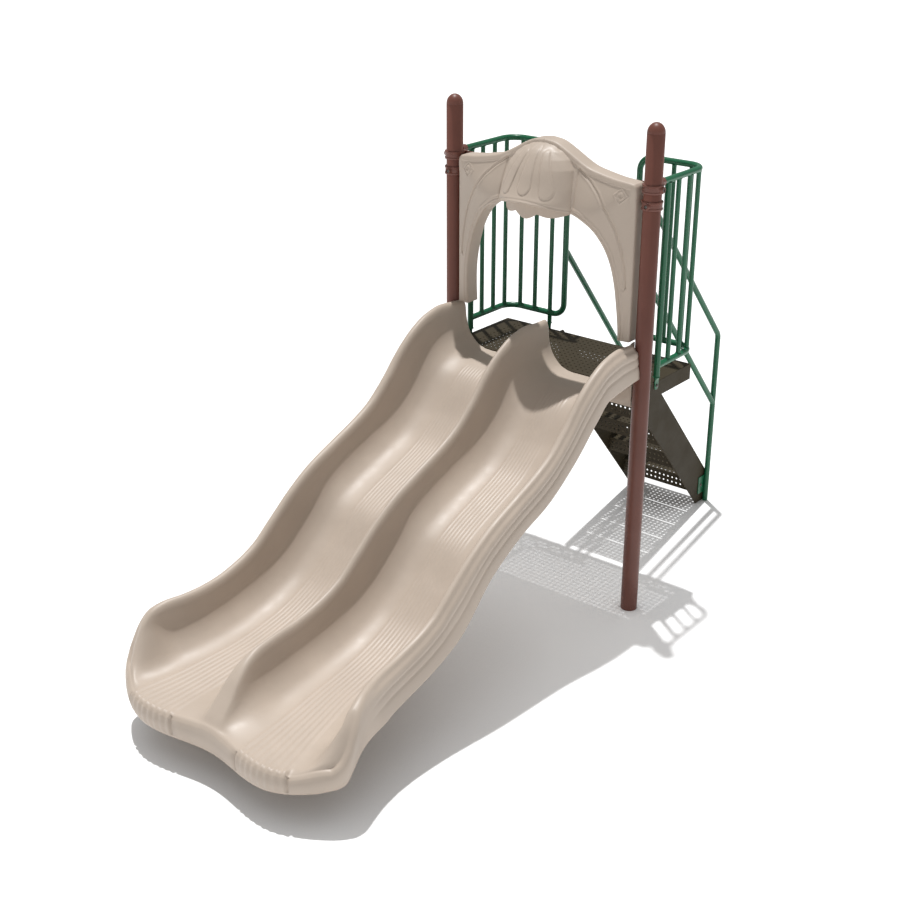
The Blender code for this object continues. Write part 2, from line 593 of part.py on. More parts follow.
def slide_half():
    grid = slide_grid()
    skirt_z = curve_through(SKIRT)
    bm = bmesh.new()
    lanes = [[bm.verts.new(point) for point in row] for row in grid]

    def quads(rows):
        for first, second in zip(rows, rows[1:]):
            for a, b, c, d in zip(first, first[1:], second[1:], second):
                bm.faces.new((a, b, c, d))

    quads(lanes)
    # The flange that hangs at the head, between the posts.
    head = lanes[0]
    flange = [head]
    for share in (0.5, 1.0):
        flange.append([bm.verts.new((v.co.x, v.co.y, v.co.z + (SLIDE_FLANGE_Z - v.co.z) * share))
                       for v in head])
    quads(flange[::-1])
    # The skirt: down the outside of a rail, round the lobe and along the lip to the middle.
    edge = [row[-1] for row in lanes if row[-1].co.y <= -0.049]
    corner = len(edge) - 1
    edge += lanes[-1][-2::-1]
    arc = [0.0]
    for a, b in zip(edge, edge[1:]):
        arc.append(arc[-1] + (b.co - a.co).to_2d().length)
    skirt = []
    for k, vert in enumerate(edge):
        along = plan_direction(edge, arc, k, 0.020 + 0.035 * ease(-vert.co.y, 2.0, 2.3))
        if k == 0:
            along = Vector((0, -1))
        elif k == len(edge) - 1:
            along = Vector((-1, 0))
        outward = Vector((-along.y, along.x))
        past = arc[k] - arc[corner]
        turn = ease(past, -0.14, 0.06)
        tuck = ease(-vert.co.y, 2.00, 2.28)
        front_z = 0.155 + 0.045 * min(vert.co.x / 0.64, 1.0) ** 3
        low = skirt_z(vert.co.y) * (1 - ease(past, -0.08, 0.04)) + front_z * ease(past, -0.08, 0.04)
        drop = vert.co.z - low
        column = [vert]
        for side, end, lip in zip(FLANK, FLANK_EXIT, LIP):
            out, down = ((s + (e - s) * tuck) * (1 - turn) + l * turn for s, e, l in zip(side, end, lip))
            column.append(bm.verts.new((vert.co.x + outward.x * out, vert.co.y + outward.y * out,
                                        vert.co.z - drop * down)))
        if k == len(edge) - 1:
            for item in column:
                item.co.x = 0.0
        skirt.append(column)
    quads(skirt)
    mesh = bpy.data.meshes.new("double_slide")
    bmesh.ops.recalc_face_normals(bm, faces=bm.faces)
    if sum(face.normal.z * face.calc_area() for face in bm.faces) < 0:
        bmesh.ops.reverse_faces(bm, faces=bm.faces)
    bm.to_mesh(mesh)
    bm.free()
    return mesh


def double_slide():
    slide = place(bpy.data.objects.new("double_slide", slide_half()), PLASTIC_BEIGE)
    mirror = slide.modifiers.new("other half", "MIRROR")
    mirror.use_axis = (True, False, False)
    mirror.merge_threshold = 0.0001
    shell = slide.modifiers.new("wall", "SOLIDIFY")
    shell.thickness = SLIDE_WALL
    shell.offset = -1.0


def exit_legs():
    """A short steel leg with a foot and a head plate under each lane, just behind the exit."""
    top = curve_through(BED)(LEG_Y) - SLIDE_WALL - 0.008
    for side, sign in SIDES:
        profile = [(0, top), (0.055, top), (0.055, top - 0.006), (0.024, top - 0.006), (0.024, 0.010),
                   (0.070, 0.010), (0.070, 0), (0, 0)]
        turned(f"exit_leg_{side}", profile, (sign * LEG_X, LEG_Y, 0), STEEL_BRONZE, 16)


# ---------------------------------------------------------------- build
SIDES = (("left", -1), ("right", 1))
clear_scene()
PIECES = new_collection("wave_slide")
CUTTERS = new_collection("cutters")
BASE = bpy.data.objects.new("wave_slide_base", None)
BASE.location = (0, POST_LINE_Y, 0)
PIECES.objects.link(BASE)
STEEL_BROWN = new_material("steel_brown", (0.145, 0.065, 0.048), 0.45)
STEEL_GREEN = new_material("steel_green", (0.026, 0.130, 0.066), 0.40)
STEEL_BRONZE = new_material("steel_bronze", (0.050, 0.038, 0.024), 0.55)
PLASTIC_BEIGE = new_material("plastic_beige", (0.47, 0.40, 0.33), 0.40)
BOLT_STEEL = new_material("bolt_steel", (0.10, 0.09, 0.08), 0.45, 0.8)

for side_name, side_sign in SIDES:
    posts(side_name, side_sign)
    collars(side_name, side_sign)
    barrier(side_name, side_sign)
    handrail(side_name, side_sign)
deck()
stair()
arch_panel()
double_slide()
exit_legs()
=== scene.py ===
import math

import bmesh
import bpy
import numpy as np
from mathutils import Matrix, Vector


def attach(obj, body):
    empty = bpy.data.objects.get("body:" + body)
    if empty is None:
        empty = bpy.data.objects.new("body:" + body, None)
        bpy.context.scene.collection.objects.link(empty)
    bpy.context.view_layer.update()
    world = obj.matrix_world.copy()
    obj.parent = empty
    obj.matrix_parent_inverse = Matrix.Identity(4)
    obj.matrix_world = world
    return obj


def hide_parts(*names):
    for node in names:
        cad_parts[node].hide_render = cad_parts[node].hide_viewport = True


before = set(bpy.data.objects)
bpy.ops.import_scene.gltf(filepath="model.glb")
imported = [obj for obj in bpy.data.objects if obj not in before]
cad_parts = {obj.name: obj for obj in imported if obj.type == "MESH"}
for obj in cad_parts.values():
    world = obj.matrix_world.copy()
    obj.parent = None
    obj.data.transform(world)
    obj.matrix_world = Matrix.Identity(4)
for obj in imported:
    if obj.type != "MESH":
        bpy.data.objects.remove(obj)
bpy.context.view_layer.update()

# ---------- dimensions, as in the CAD
GAP = 0.0003  # clearance left between touching pieces
BASE_Y = 0.5383  # the post line
POST_X = 0.6096
POST_R = 0.04445
POST_WALL = 0.0032
POST_TOP = 2.566
CAP_TOP = 2.617
COLLAR_UPPER_Z = 2.302
COLLAR_LOWER_Z = 2.222
COLLAR_HEIGHT = 0.044
COLLAR_WALL = 0.0085
BOSS_REACH = 0.0625  # from the post's axis to the face of a collar's boss
BOSS_RECESS = 0.0065
PANEL_LUG_X = 0.517  # inner end of the lugs behind the arch panel
SOCKET_END = 0.088  # depth of the socket that holds a barrier's top rail
DECK_TOP = 1.2668
DECK_DEPTH = 0.085
DECK_REAR = 0.493
DECK_HALF = 0.6096
DECK_NOTCH_X = 0.5530
DECK_NOTCH_Y = 0.0545
SHEET = 0.003
STRINGER_X = 0.2415  # outer face
STRINGER_THICK = 0.006
STRINGER_UPPER = (0.858, 0.880)  # a point (y, z) on the stringer's upper edge
STRINGER_LOWER = (0.761, 0.681)  # and one on its lower edge
STAIR_SLOPE = 1.152  # rise over run
STAIR_END = 1.449
TREADS = 5
TREAD_REAR = (1.0715, 0.6334)  # rear edge (y, z) of the middle tread
TREAD_DEPTH = 0.188
TREAD_LIP = 0.085  # depth of a tread pan's front and rear flanges
SEAM = 0.0001  # hairline between sheets that are bent from one blank
HOLE_PITCH_DECK = 0.0318
HOLE_PITCH_TREAD = 0.0300
HOLE_R_DECK = 0.0055
HOLE_R_TREAD = 0.0060
RAIL_R = 0.0165
PICKET_R = 0.0125
BARRIER_REAR = 0.502
BARRIER_TOP = 2.320
BARRIER_BOTTOM = 1.357
BARRIER_BEND = 0.090
BARRIER_END_X = 0.2252
BARRIER_END_BEND = 0.070
FRONT_TUBE_Y = 0.142
SIDE_PICKETS_Y = (0.243, 0.348, 0.447)
REAR_PICKETS_X = (0.530, 0.427, 0.320)
HANDRAIL_X = 0.2585
HANDRAIL_Y = 1.437
HANDRAIL_BEND_Z = 1.10
HANDRAIL_TOP_Z = 2.150
HANDRAIL_END_X = 0.238  # the upper ends lean in to meet the barriers
HANDRAIL_END_Y = 0.5315
HANDRAIL_LOW_FROM_Z = 0.66
HANDRAIL_LOW_TO_Z = 1.72
BOLT_R = 0.009
BOLT_HEIGHT = 0.006
TAB_THICK = 0.005
PLATE_THICK = 0.006
FOOT_Z = DECK_TOP + 0.030  # where the barriers' tubes turn into flat tabs
WELD = (0.006, 0.0035)  # how far a weld flares a bar's end: along it, and outwards
WELD_SINK = 0.004
PANEL_FRONT = -0.045
PANEL_BACK = 0.035
PANEL_BOTTOM = 1.519
PANEL_BULGE = 0.070  # how far the panel swells forward along its opening
PANEL_DEPTH = 0.080  # thickness of the shell over the middle
PANEL_ROUNDING = 0.011
VALANCE_X = 0.198  # half width of the scalloped strip behind the shell's lip
SLIDE_WALL = 0.007
SLIDE_HEAD_X = 0.556  # half width between the posts
SLIDE_FLANGE_Z = 1.160
LIP_Z = 0.274
LIP_Y = -2.500
LOBE_X = 0.360  # where a lobe of the exit's edge comes furthest forward
EXIT_START = -1.930
SIDE_END = -2.370
CORNER_X = 0.640
RIBS = 8
LEG_X = 0.200
LEG_Y = -1.930
SIDES = (("left", -1), ("right", 1))

# Heights of the slide along its length: (y, z).
BED = ((0.10, 1.262), (-0.16, 1.262), (-0.28, 1.228), (-0.50, 1.034), (-0.65, 0.930), (-0.85, 0.848),
       (-1.00, 0.791), (-1.12, 0.733), (-1.30, 0.582), (-1.50, 0.441), (-1.70, 0.366), (-1.95, 0.322),
       (-2.50, LIP_Z))
CREST = ((0.10, 1.514), (-0.06, 1.514), (-0.17, 1.522), (-0.28, 1.503), (-0.38, 1.460), (-0.50, 1.375),
         (-0.62, 1.250), (-0.75, 1.142), (-0.87, 1.080), (-1.02, 1.020), (-1.20, 0.946), (-1.35, 0.858),
         (-1.50, 0.745), (-1.62, 0.655), (-1.75, 0.603), (-1.90, 0.570), (-2.05, 0.557), (-2.14, 0.552),
         (-2.215, 0.534), (-2.262, 0.485), (-2.305, 0.402), (-2.34, 0.344), (-2.37, 0.318))
DIVIDER_END = ((-1.80, 0.592), (-1.90, 0.570), (-2.05, 0.556), (-2.15, 0.543), (-2.241, 0.508),
               (-2.307, 0.456), (-2.358, 0.396), (-2.428, 0.320), (-2.46, 0.286))
SKIRT = ((0.10, 1.350), (-0.31, 1.310), (-0.42, 1.228), (-0.60, 1.072), (-0.82, 0.930), (-1.02, 0.853),
         (-1.24, 0.730), (-1.50, 0.500), (-1.76, 0.400), (-2.07, 0.335), (-2.13, 0.315), (-2.18, 0.285),
         (-2.23, 0.235), (-2.28, 0.205), (-2.37, 0.200))
# Half width to the crest of an outer rail: (y, x). The rails splay outwards at the exit.
RAIL_LINE = ((0.10, SLIDE_HEAD_X), (0.00, SLIDE_HEAD_X), (-0.05, 0.567), (-1.80, 0.567), (-1.95, 0.575),
             (-2.05, 0.592), (-2.13, 0.617), (-2.215, 0.650), (-2.262, 0.667), (-2.305, 0.674),
             (-2.34, 0.663), (-2.37, 0.640), (-2.39, 0.615))
# Inner face of a rail or of the divider: (distance from its crest, share of its height).
WALL = ((0.000, 1.00), (0.014, 0.97), (0.025, 0.86), (0.031, 0.62), (0.050, 0.36), (0.088, 0.16),
        (0.130, 0.045), (0.180, 0.0))
# Outer face of a rail, with and without its long beads, of its tucked-in end, and of the exit lip:
# (distance out, share of the drop).
FLANK = ((0.0, 0.0), (0.010, 0.008), (0.018, 0.04), (0.022, 0.10), (0.028, 0.145), (0.036, 0.17),
         (0.043, 0.22), (0.046, 0.31), (0.042, 0.37), (0.047, 0.43), (0.049, 0.55), (0.045, 0.60),
         (0.051, 0.66), (0.056, 0.80), (0.058, 1.0))
FLANK_PLAIN = ((0.0, 0.0), (0.010, 0.010), (0.020, 0.045), (0.029, 0.11), (0.037, 0.20), (0.043, 0.32),
               (0.048, 0.48), (0.053, 0.70), (0.056, 0.86), (0.057, 1.0))
FLANK_EXIT = ((0.0, 0.0), (0.010, 0.008), (0.020, 0.035), (0.027, 0.08), (0.031, 0.15), (0.032, 0.25),
              (0.029, 0.40), (0.021, 0.60), (0.008, 0.80), (-0.010, 1.0))
LIP = ((0.0, 0.0), (0.006, 0.02), (0.012, 0.06), (0.017, 0.11), (0.0205, 0.15), (0.0225, 0.20),
       (0.0250, 0.28), (0.0268, 0.35), (0.0277, 0.42), (0.0280, 0.50), (0.0277, 0.58), (0.0268, 0.65),
       (0.0250, 0.75), (0.0225, 0.87), (0.016, 1.0))
# The arch panel: pairs of (x, z), on the opening's edge and on the outer edge, from a foot to the middle.
PANEL_STATIONS = (((0.478, 1.519), (0.547, 1.519)), ((0.477, 1.600), (0.547, 1.610)),
                  ((0.470, 1.700), (0.547, 1.730)), ((0.456, 1.800), (0.547, 1.850)),
                  ((0.430, 1.902), (0.547, 1.980)), ((0.394, 1.984), (0.547, 2.100)),
                  ((0.350, 2.047), (0.547, 2.210)), ((0.323, 2.074), (0.547, 2.285)),
                  ((0.304, 2.089), (0.537, 2.312)), ((0.286, 2.101), (0.512, 2.320)),
                  ((0.257, 2.118), (0.430, 2.328)), ((0.234, 2.128), (0.335, 2.345)),
                  ((0.213, 2.135), (0.270, 2.361)), ((0.180, 2.150), (0.213, 2.388)),
                  ((0.120, 2.168), (0.140, 2.428)), ((0.060, 2.179), (0.070, 2.460)),
                  ((0.000, 2.183), (0.000, 2.470)))
# The shell over the middle: how far forward it reaches at each height, and its half width there.
SHELL_REACH = ((2.135, -0.275), (2.183, -0.262), (2.218, -0.237), (2.257, -0.215), (2.326, -0.184),
               (2.389, -0.145), (2.424, -0.112), (2.441, -0.076), (2.455, -0.045))
SHELL_WIDTH = ((2.135, 0.213), (2.250, 0.209), (2.340, 0.196), (2.385, 0.165), (2.420, 0.118),
               (2.442, 0.066), (2.455, 0.001))
# The panel's raised tongues: (top, bottom, half width there), and the line drawn round its wing.
TONGUES = (((0.0, 2.425), (0.0, 2.258), 0.020, 0.040), ((0.062, 2.412), (0.122, 2.240), 0.018, 0.034))
WING_LINE = ((0.218, 2.350), (0.290, 2.300), (0.347, 2.248), (0.410, 2.165), (0.455, 2.080),
             (0.485, 1.990), (0.505, 1.890), (0.514, 1.800))
WING_TIP = ((0.514, 1.800), (0.508, 1.786), (0.499, 1.790))
FOLD_LINE = ((0.226, 2.160), (0.222, 2.260), (0.214, 2.348))
MOTIF = (0.470, 2.254)


# ---------- shader helpers
class Nodes:
    """Short-hand for building a material's node tree."""

    def __init__(self, name):
        self.material = bpy.data.materials.new(name)
        self.material.use_nodes = True
        self.tree = self.material.node_tree
        self.shader = self.tree.nodes["Principled BSDF"]
        self.position = self.add("TexCoord").outputs["Object"]

    def link(self, source, target):
        self.tree.links.new(source, target)

    def add(self, kind, **values):
        """A new node. The values are for its inputs, with _ for a space in an input's name."""
        node = self.tree.nodes.new("ShaderNode" + kind)
        for socket, value in values.items():
            node.inputs[socket.replace("_", " ")].default_value = value
        return node

    def noise(self, scale, detail=3.0, roughness=0.5):
        node = self.add("TexNoise", Scale=scale, Detail=detail, Roughness=roughness)
        self.link(self.position, node.inputs["Vector"])
        return node.outputs["Fac"]

    def remap(self, value, low, high, to_low, to_high):
        node = self.add("MapRange", From_Min=low, From_Max=high, To_Min=to_low, To_Max=to_high)
        self.link(value, node.inputs["Value"])
        return node.outputs["Result"]

    def mix(self, factor, first, second):
        node = self.add("Mix")
        node.data_type = "RGBA"
        self.link(factor, node.inputs["Factor"])
        for socket, colour in ((node.inputs[6], first), (node.inputs[7], second)):
            if isinstance(colour, tuple):
                socket.default_value = (*colour, 1.0)
            else:
                self.link(colour, socket)
        return node.outputs[2]

    def bump(self, layers):
        """Stacks bump layers given as (height, strength, distance)."""
        normal = None
        for height, strength, distance in layers:
            node = self.add("Bump", Strength=strength, Distance=distance)
            self.link(height, node.inputs["Height"])
            if normal:
                self.link(normal, node.inputs["Normal"])
            normal = node.outputs["Normal"]
        self.link(normal, self.shader.inputs["Normal"])

    def cloudy(self, colour, scale, detail, low, high):
        """The colour, drifting slowly between two shades of itself."""
        drift = self.remap(self.noise(scale, detail, 0.6), 0.3, 0.7, 0.0, 1.0)
        return self.mix(drift, shade(colour, low), shade(colour, high))

    def roughen(self, scale, detail, roughness, low, high):
        patches = self.noise(scale, detail, 0.6)
        self.link(self.remap(patches, 0.3, 0.7, roughness - low, roughness + high),
                  self.shader.inputs["Roughness"])

    def edges(self, radius, low=0.02, high=0.25):
        """How far a point lies on a sharp convex or concave edge, from 0 to 1."""
        bevel = self.add("Bevel", Radius=radius)
        bevel.samples = 4
        geometry = self.add("NewGeometry")
        dot = self.add("VectorMath")
        dot.operation = "DOT_PRODUCT"
        self.link(bevel.outputs["Normal"], dot.inputs[0])
        self.link(geometry.outputs["Normal"], dot.inputs[1])
        return self.remap(dot.outputs["Value"], 1.0 - low, 1.0 - high, 0.0, 1.0)


def shade(colour, factor):
    return tuple(min(channel * factor, 1.0) for channel in colour)


def coated_steel(name, colour, roughness, peel, wear, specular):
    """Powder-coated steel: orange peel, slow drifts of shade, and slightly thin paint on the edges."""
    nodes = Nodes(name)
    speckle = nodes.noise(420.0, 2.0, 0.6)
    base = nodes.cloudy(colour, 2.5, 4.0, 0.88, 1.12)
    base = nodes.mix(nodes.remap(speckle, 0.55, 0.75, 0.0, 0.35), base, shade(colour, 1.35))
    base = nodes.mix(nodes.remap(nodes.edges(0.0012), 0.0, 1.0, 0.0, wear), base, shade(colour, 1.9))
    nodes.link(base, nodes.shader.inputs["Base Color"])
    nodes.roughen(9.0, 4.0, roughness, 0.06, 0.07)
    nodes.bump([(nodes.noise(peel, 2.0, 0.5), 0.25, 0.0006), (speckle, 0.15, 0.0002)])
    nodes.shader.inputs["Specular IOR Level"].default_value = specular
    return nodes.material


def moulded_plastic(name, colour, roughness):
    """Rotomoulded polyethylene: faint cloudy colour, a fine grained skin and slow waves in its gloss."""
    nodes = Nodes(name)
    grain = nodes.noise(900.0, 2.0, 0.6)
    fleck = nodes.remap(nodes.noise(160.0, 3.0, 0.6), 0.58, 0.78, 0.0, 0.25)
    base = nodes.mix(fleck, nodes.cloudy(colour, 3.5, 5.0, 0.955, 1.045), shade(colour, 0.82))
    nodes.link(base, nodes.shader.inputs["Base Color"])
    nodes.roughen(14.0, 4.0, roughness, 0.05, 0.06)
    nodes.bump([(nodes.noise(26.0, 2.0, 0.5), 0.12, 0.0015), (grain, 0.22, 0.0002)])
    return nodes.material


def plated_steel(name, colour, roughness):
    nodes = Nodes(name)
    nodes.link(nodes.cloudy(colour, 60.0, 4.0, 0.8, 1.2), nodes.shader.inputs["Base Color"])
    nodes.shader.inputs["Metallic"].default_value = 0.9
    nodes.roughen(200.0, 3.0, roughness, 0.08, 0.08)
    nodes.bump([(nodes.noise(900.0, 2.0), 0.2, 0.0001)])
    return nodes.material


# Each finish is a material and the name of a slot.
BROWN = (coated_steel("brown_powder_coat", (0.155, 0.056, 0.040), 0.40, 260.0, 0.5, 0.4), "steel_brown")
GREEN = (coated_steel("green_powder_coat", (0.008, 0.115, 0.050), 0.30, 300.0, 0.25, 0.45), "steel_green")
BRONZE = (coated_steel("bronze_dip_coat", (0.042, 0.032, 0.017), 0.62, 180.0, 0.15, 0.2), "steel_bronze")
BEIGE = (moulded_plastic("beige_moulding", (0.48, 0.400, 0.330), 0.47), "plastic_beige")
PLATED = (plated_steel("plated_bolt", (0.16, 0.15, 0.14), 0.45), "bolt_steel")


# ---------- piece helpers
def keep(obj, finish, node):
    """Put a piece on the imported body, in place of the CAD node it stands for."""
    material, slot = finish
    obj.data.materials.append(material)
    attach(obj, "root")
    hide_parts(node)


def add_object(name, bm, smooth_angle=40.0, closed=True):
    """A mesh object from a bmesh that is built about the post line. An open one faces up."""
    bmesh.ops.recalc_face_normals(bm, faces=bm.faces)
    if not closed and sum(face.normal.z * face.calc_area() for face in bm.faces) < 0:
        bmesh.ops.reverse_faces(bm, faces=bm.faces)
    bmesh.ops.translate(bm, vec=(0, BASE_Y, 0), verts=bm.verts)
    mesh = bpy.data.meshes.new(name)
    bm.to_mesh(mesh)
    bm.free()
    mesh.shade_smooth()
    mesh.set_sharp_from_angle(angle=math.radians(smooth_angle))
    obj = bpy.data.objects.new(name, mesh)
    bpy.context.scene.collection.objects.link(obj)
    return obj


def add_bevel(obj, width, angle=35.0):
    bevel = obj.modifiers.new("rounding", "BEVEL")
    bevel.width = width
    bevel.segments = 2
    bevel.limit_method = "ANGLE"
    bevel.angle_limit = math.radians(angle)
    bevel.harden_normals = True


def add_mirror(obj):
    mirror = obj.modifiers.new("other half", "MIRROR")
    mirror.use_axis = (True, False, False)
    mirror.merge_threshold = 0.0001


def frame_at(axis):
    """Two unit vectors square to an axis."""
    axis = Vector(axis).normalized()
    side = axis.cross(Vector((0, 0, 1)))
    if side.length < 0.001:
        side = Vector((1, 0, 0))
    side.normalize()
    return side, axis.cross(side)


def circle(bm, centre, side, other, radius_at, steps):
    """A ring of vertices round a centre. radius_at gives the radius at an angle."""
    ring = []
    for k in range(steps):
        a = 2 * math.pi * k / steps
        ring.append(bm.verts.new(centre + (side * math.cos(a) + other * math.sin(a)) * radius_at(a)))
    return ring


def bridge(bm, rings, caps=True):
    """Join closed rings of vertices, and close the first and the last."""
    for first, second in zip(rings, rings[1:]):
        for k in range(len(first)):
            n = (k + 1) % len(first)
            bm.faces.new((first[k], first[n], second[n], second[k]))
    if caps:
        bm.faces.new(rings[0][::-1])
        bm.faces.new(rings[-1])


def lathe(bm, profile, centre, axis=(0, 0, 1), steps=48, closed=False):
    """Turned surface about an axis through centre. Profile points are (radius, distance along axis)."""
    axis = Vector(axis).normalized()
    side, other = frame_at(axis)
    centre = Vector(centre)
    rings = []
    for radius, along in profile:
        if radius < 1e-7:
            rings.append([bm.verts.new(centre + axis * along)])
            continue
        rings.append(circle(bm, centre + axis * along, side, other, lambda a: radius, steps))
    pairs = list(zip(rings, rings[1:]))
    if closed:
        pairs.append((rings[-1], rings[0]))
    for first, second in pairs:
        for k in range(steps):
            n = (k + 1) % steps
            face = []
            for ring, j in ((first, k), (first, n), (second, n), (second, k)):
                vert = ring[j % len(ring)]
                if vert not in face:
                    face.append(vert)
            if len(face) > 2:
                bm.faces.new(face)


def rounded_path(points, radius, steps=12):
    """The points joined by straight runs, with an arc of the given radius at each corner."""
    points = [Vector(point) for point in points]
    path = [points[0]]
    for before, corner, after in zip(points, points[1:], points[2:]):
        back = (before - corner).normalized()
        ahead = (after - corner).normalized()
        half = back.angle(ahead) / 2
        reach = radius / math.tan(half)
        centre = corner + (back + ahead).normalized() * radius / math.sin(half)
        start = corner + back * reach - centre
        end = corner + ahead * reach - centre
        sweep = start.angle(end)
        for k in range(steps + 1):
            t = k / steps
            mixed = math.sin((1 - t) * sweep) * start + math.sin(t * sweep) * end
            path.append(centre + mixed / math.sin(sweep))
    path.append(points[-1])
    return path


def sweep_tube(bm, path, radius, sides=28, weld=None):
    """A round bar along a path, closed at both ends. weld flares its ends: (distance, extra radius)."""
    path = [Vector(point) for point in path]
    distance, extra = weld or (1.0, 0.0)
    if weld:
        for _ in range(2):
            first, second = path[0], path[1]
            along = (second - first).normalized()
            path[1:1] = [first + along * distance * share for share in (0.25, 0.5, 0.75, 1.0)]
            path.reverse()
    directions = [(b - a).normalized() for a, b in zip(path, path[1:])]
    tangents = [directions[0]]
    tangents += [(a + b).normalized() for a, b in zip(directions, directions[1:])]
    tangents.append(directions[-1])
    side = frame_at(tangents[0])[0]
    rings = []
    total = sum((b - a).length for a, b in zip(path, path[1:]))
    travelled = 0.0
    for k, (point, tangent) in enumerate(zip(path, tangents)):
        if k:
            travelled += (point - path[k - 1]).length
        side = (side - tangent * side.dot(tangent)).normalized()
        other = tangent.cross(side)
        nearest = min(travelled, total - travelled)
        r = radius + extra * max(0.0, 1.0 - nearest / distance) ** 2
        rings.append(circle(bm, point, side, other, lambda a: r, sides))
    bridge(bm, rings)


def box(bm, low, high):
    low, high = Vector(low), Vector(high)
    made = bmesh.ops.create_cube(bm, size=1.0)["verts"]
    bmesh.ops.scale(bm, vec=high - low, verts=made)
    bmesh.ops.translate(bm, vec=(low + high) / 2, verts=made)


def prism(bm, outline, thickness):
    """A flat outline of 3-D points pushed along a vector."""
    face = bm.faces.new([bm.verts.new(point) for point in outline])
    pushed = bmesh.ops.extrude_face_region(bm, geom=[face])["geom"]
    moved = [item for item in pushed if isinstance(item, bmesh.types.BMVert)]
    bmesh.ops.translate(bm, vec=thickness, verts=moved)


def curve_through(points):
    """A smooth function through (position, value) pairs that are given in order."""
    def slope(i):
        if i in (0, len(points) - 1):
            return 0.0
        (y0, v0), (y1, v1), (y2, v2) = points[i - 1:i + 2]
        before = (v1 - v0) / (y1 - y0)
        after = (v2 - v1) / (y2 - y1)
        if before * after <= 0:
            return 0.0
        return 2 * before * after / (before + after)

    slopes = [slope(i) for i in range(len(points))]

    def value(y):
        for i in range(len(points) - 1):
            (y0, v0), (y1, v1) = points[i], points[i + 1]
            if (y - y1) * (y1 - y0) <= 0 or i == len(points) - 2:
                span = y1 - y0
                t = min(max((y - y0) / span, 0.0), 1.0)
                a = (2 * t ** 3 - 3 * t ** 2 + 1) * v0 + (t ** 3 - 2 * t ** 2 + t) * span * slopes[i]
                b = (3 * t ** 2 - 2 * t ** 3) * v1 + (t ** 3 - t ** 2) * span * slopes[i + 1]
                return a + b
    return value


# ---------- posts and collars
def posts(side, sign):
    x = sign * POST_X
    inner = POST_R - POST_WALL
    bm = bmesh.new()
    lathe(bm, [(POST_R - 0.0008, POST_TOP), (POST_R, POST_TOP - 0.001), (POST_R, 0.0), (inner, 0.0),
               (inner, POST_TOP)], (x, 0, 0), steps=72, closed=True)
    keep(add_object(f"post_tube_{side}", bm), BROWN, f"post_{side}")
    bm = bmesh.new()
    base = POST_TOP + GAP
    rise = CAP_TOP - POST_TOP
    dome = [(POST_R * math.sin(math.radians(a)), base + rise * math.cos(math.radians(a)))
            for a in range(0, 86, 5)]
    skirt = [(POST_R, base + 0.003), (POST_R, base + 0.001), (POST_R - 0.001, base), (inner - GAP, base),
             (inner - GAP, base - 0.03), (0, base - 0.03)]
    lathe(bm, dome + skirt, (x, 0, 0), steps=72)
    keep(add_object(f"post_dome_{side}", bm), BROWN, f"post_cap_{side}")


def collar_ring(bm, sign, z, first_angle):
    """Half of a cast ring with a rounded band along both rims."""
    inner = POST_R + GAP
    outer = inner + COLLAR_WALL
    half = COLLAR_HEIGHT / 2
    band = [(inner, half), (outer - 0.003, half), (outer - 0.0007, half - 0.001), (outer, half - 0.003),
            (outer, half - 0.009), (outer - 0.003, half - 0.012)]
    section = [(r, -dz) for r, dz in band] + band[::-1]
    clearance = math.degrees(GAP / inner)
    steps = 36
    rings = []
    for k in range(steps + 1):
        angle = math.radians(first_angle + clearance + (180 - 2 * clearance) * k / steps)
        rings.append([bm.verts.new((sign * (POST_X + r * math.cos(angle)), r * math.sin(angle), z + dz))
                      for r, dz in section])
    bridge(bm, rings)


def collar(side, sign, level, z, boss_angle, socket):
    turn = math.radians(boss_angle)
    out = Vector((sign * math.cos(turn), math.sin(turn), 0))
    axis = Vector((sign * POST_X, 0, z))
    ring = POST_R + GAP + COLLAR_WALL
    bm = bmesh.new()
    collar_ring(bm, sign, z, -135)
    mouth = BOSS_REACH
    seat = mouth - BOSS_RECESS
    lathe(bm, [(0, ring - 0.008), (0.0205, ring - 0.008), (0.0185, ring - 0.003), (0.0160, ring + 0.0015),
               (0.0148, mouth - 0.0015), (0.0140, mouth - 0.0003), (0.0132, mouth), (0.0105, mouth),
               (0.0098, mouth - 0.0006), (0.0095, mouth - 0.0015), (0.0095, seat), (0, seat)],
          axis, out, 40)
    keep(add_object(f"collar_casting_{level}_{side}_front", bm), BROWN, f"collar_{level}_{side}_front")

    bm = bmesh.new()
    collar_ring(bm, sign, z, 45)
    wide = (sign * PANEL_LUG_X, sign * (POST_X - 0.028))
    box(bm, (min(wide), PANEL_BACK + GAP, z - 0.018), (max(wide), PANEL_BACK + GAP + 0.008, z + 0.018))
    if socket:
        rear = Vector((sign * POST_X, 0, BARRIER_TOP))
        lathe(bm, [(0, ring - 0.006), (0.026, ring - 0.006), (0.0235, ring + 0.002), (0.022, ring + 0.006),
                   (0.0218, SOCKET_END - 0.002), (0.0208, SOCKET_END), (RAIL_R + GAP, SOCKET_END),
                   (RAIL_R + GAP, ring + 0.002), (0, ring + 0.002)], rear, (0, 1, 0), 40)
    keep(add_object(f"collar_casting_{level}_{side}_rear", bm), BROWN, f"collar_{level}_{side}_rear")
    bolt_head(f"collar_screw_{level}_{side}", f"collar_bolt_{level}_{side}", axis + out * (seat + GAP), out,
              0.0085, 0.0040)


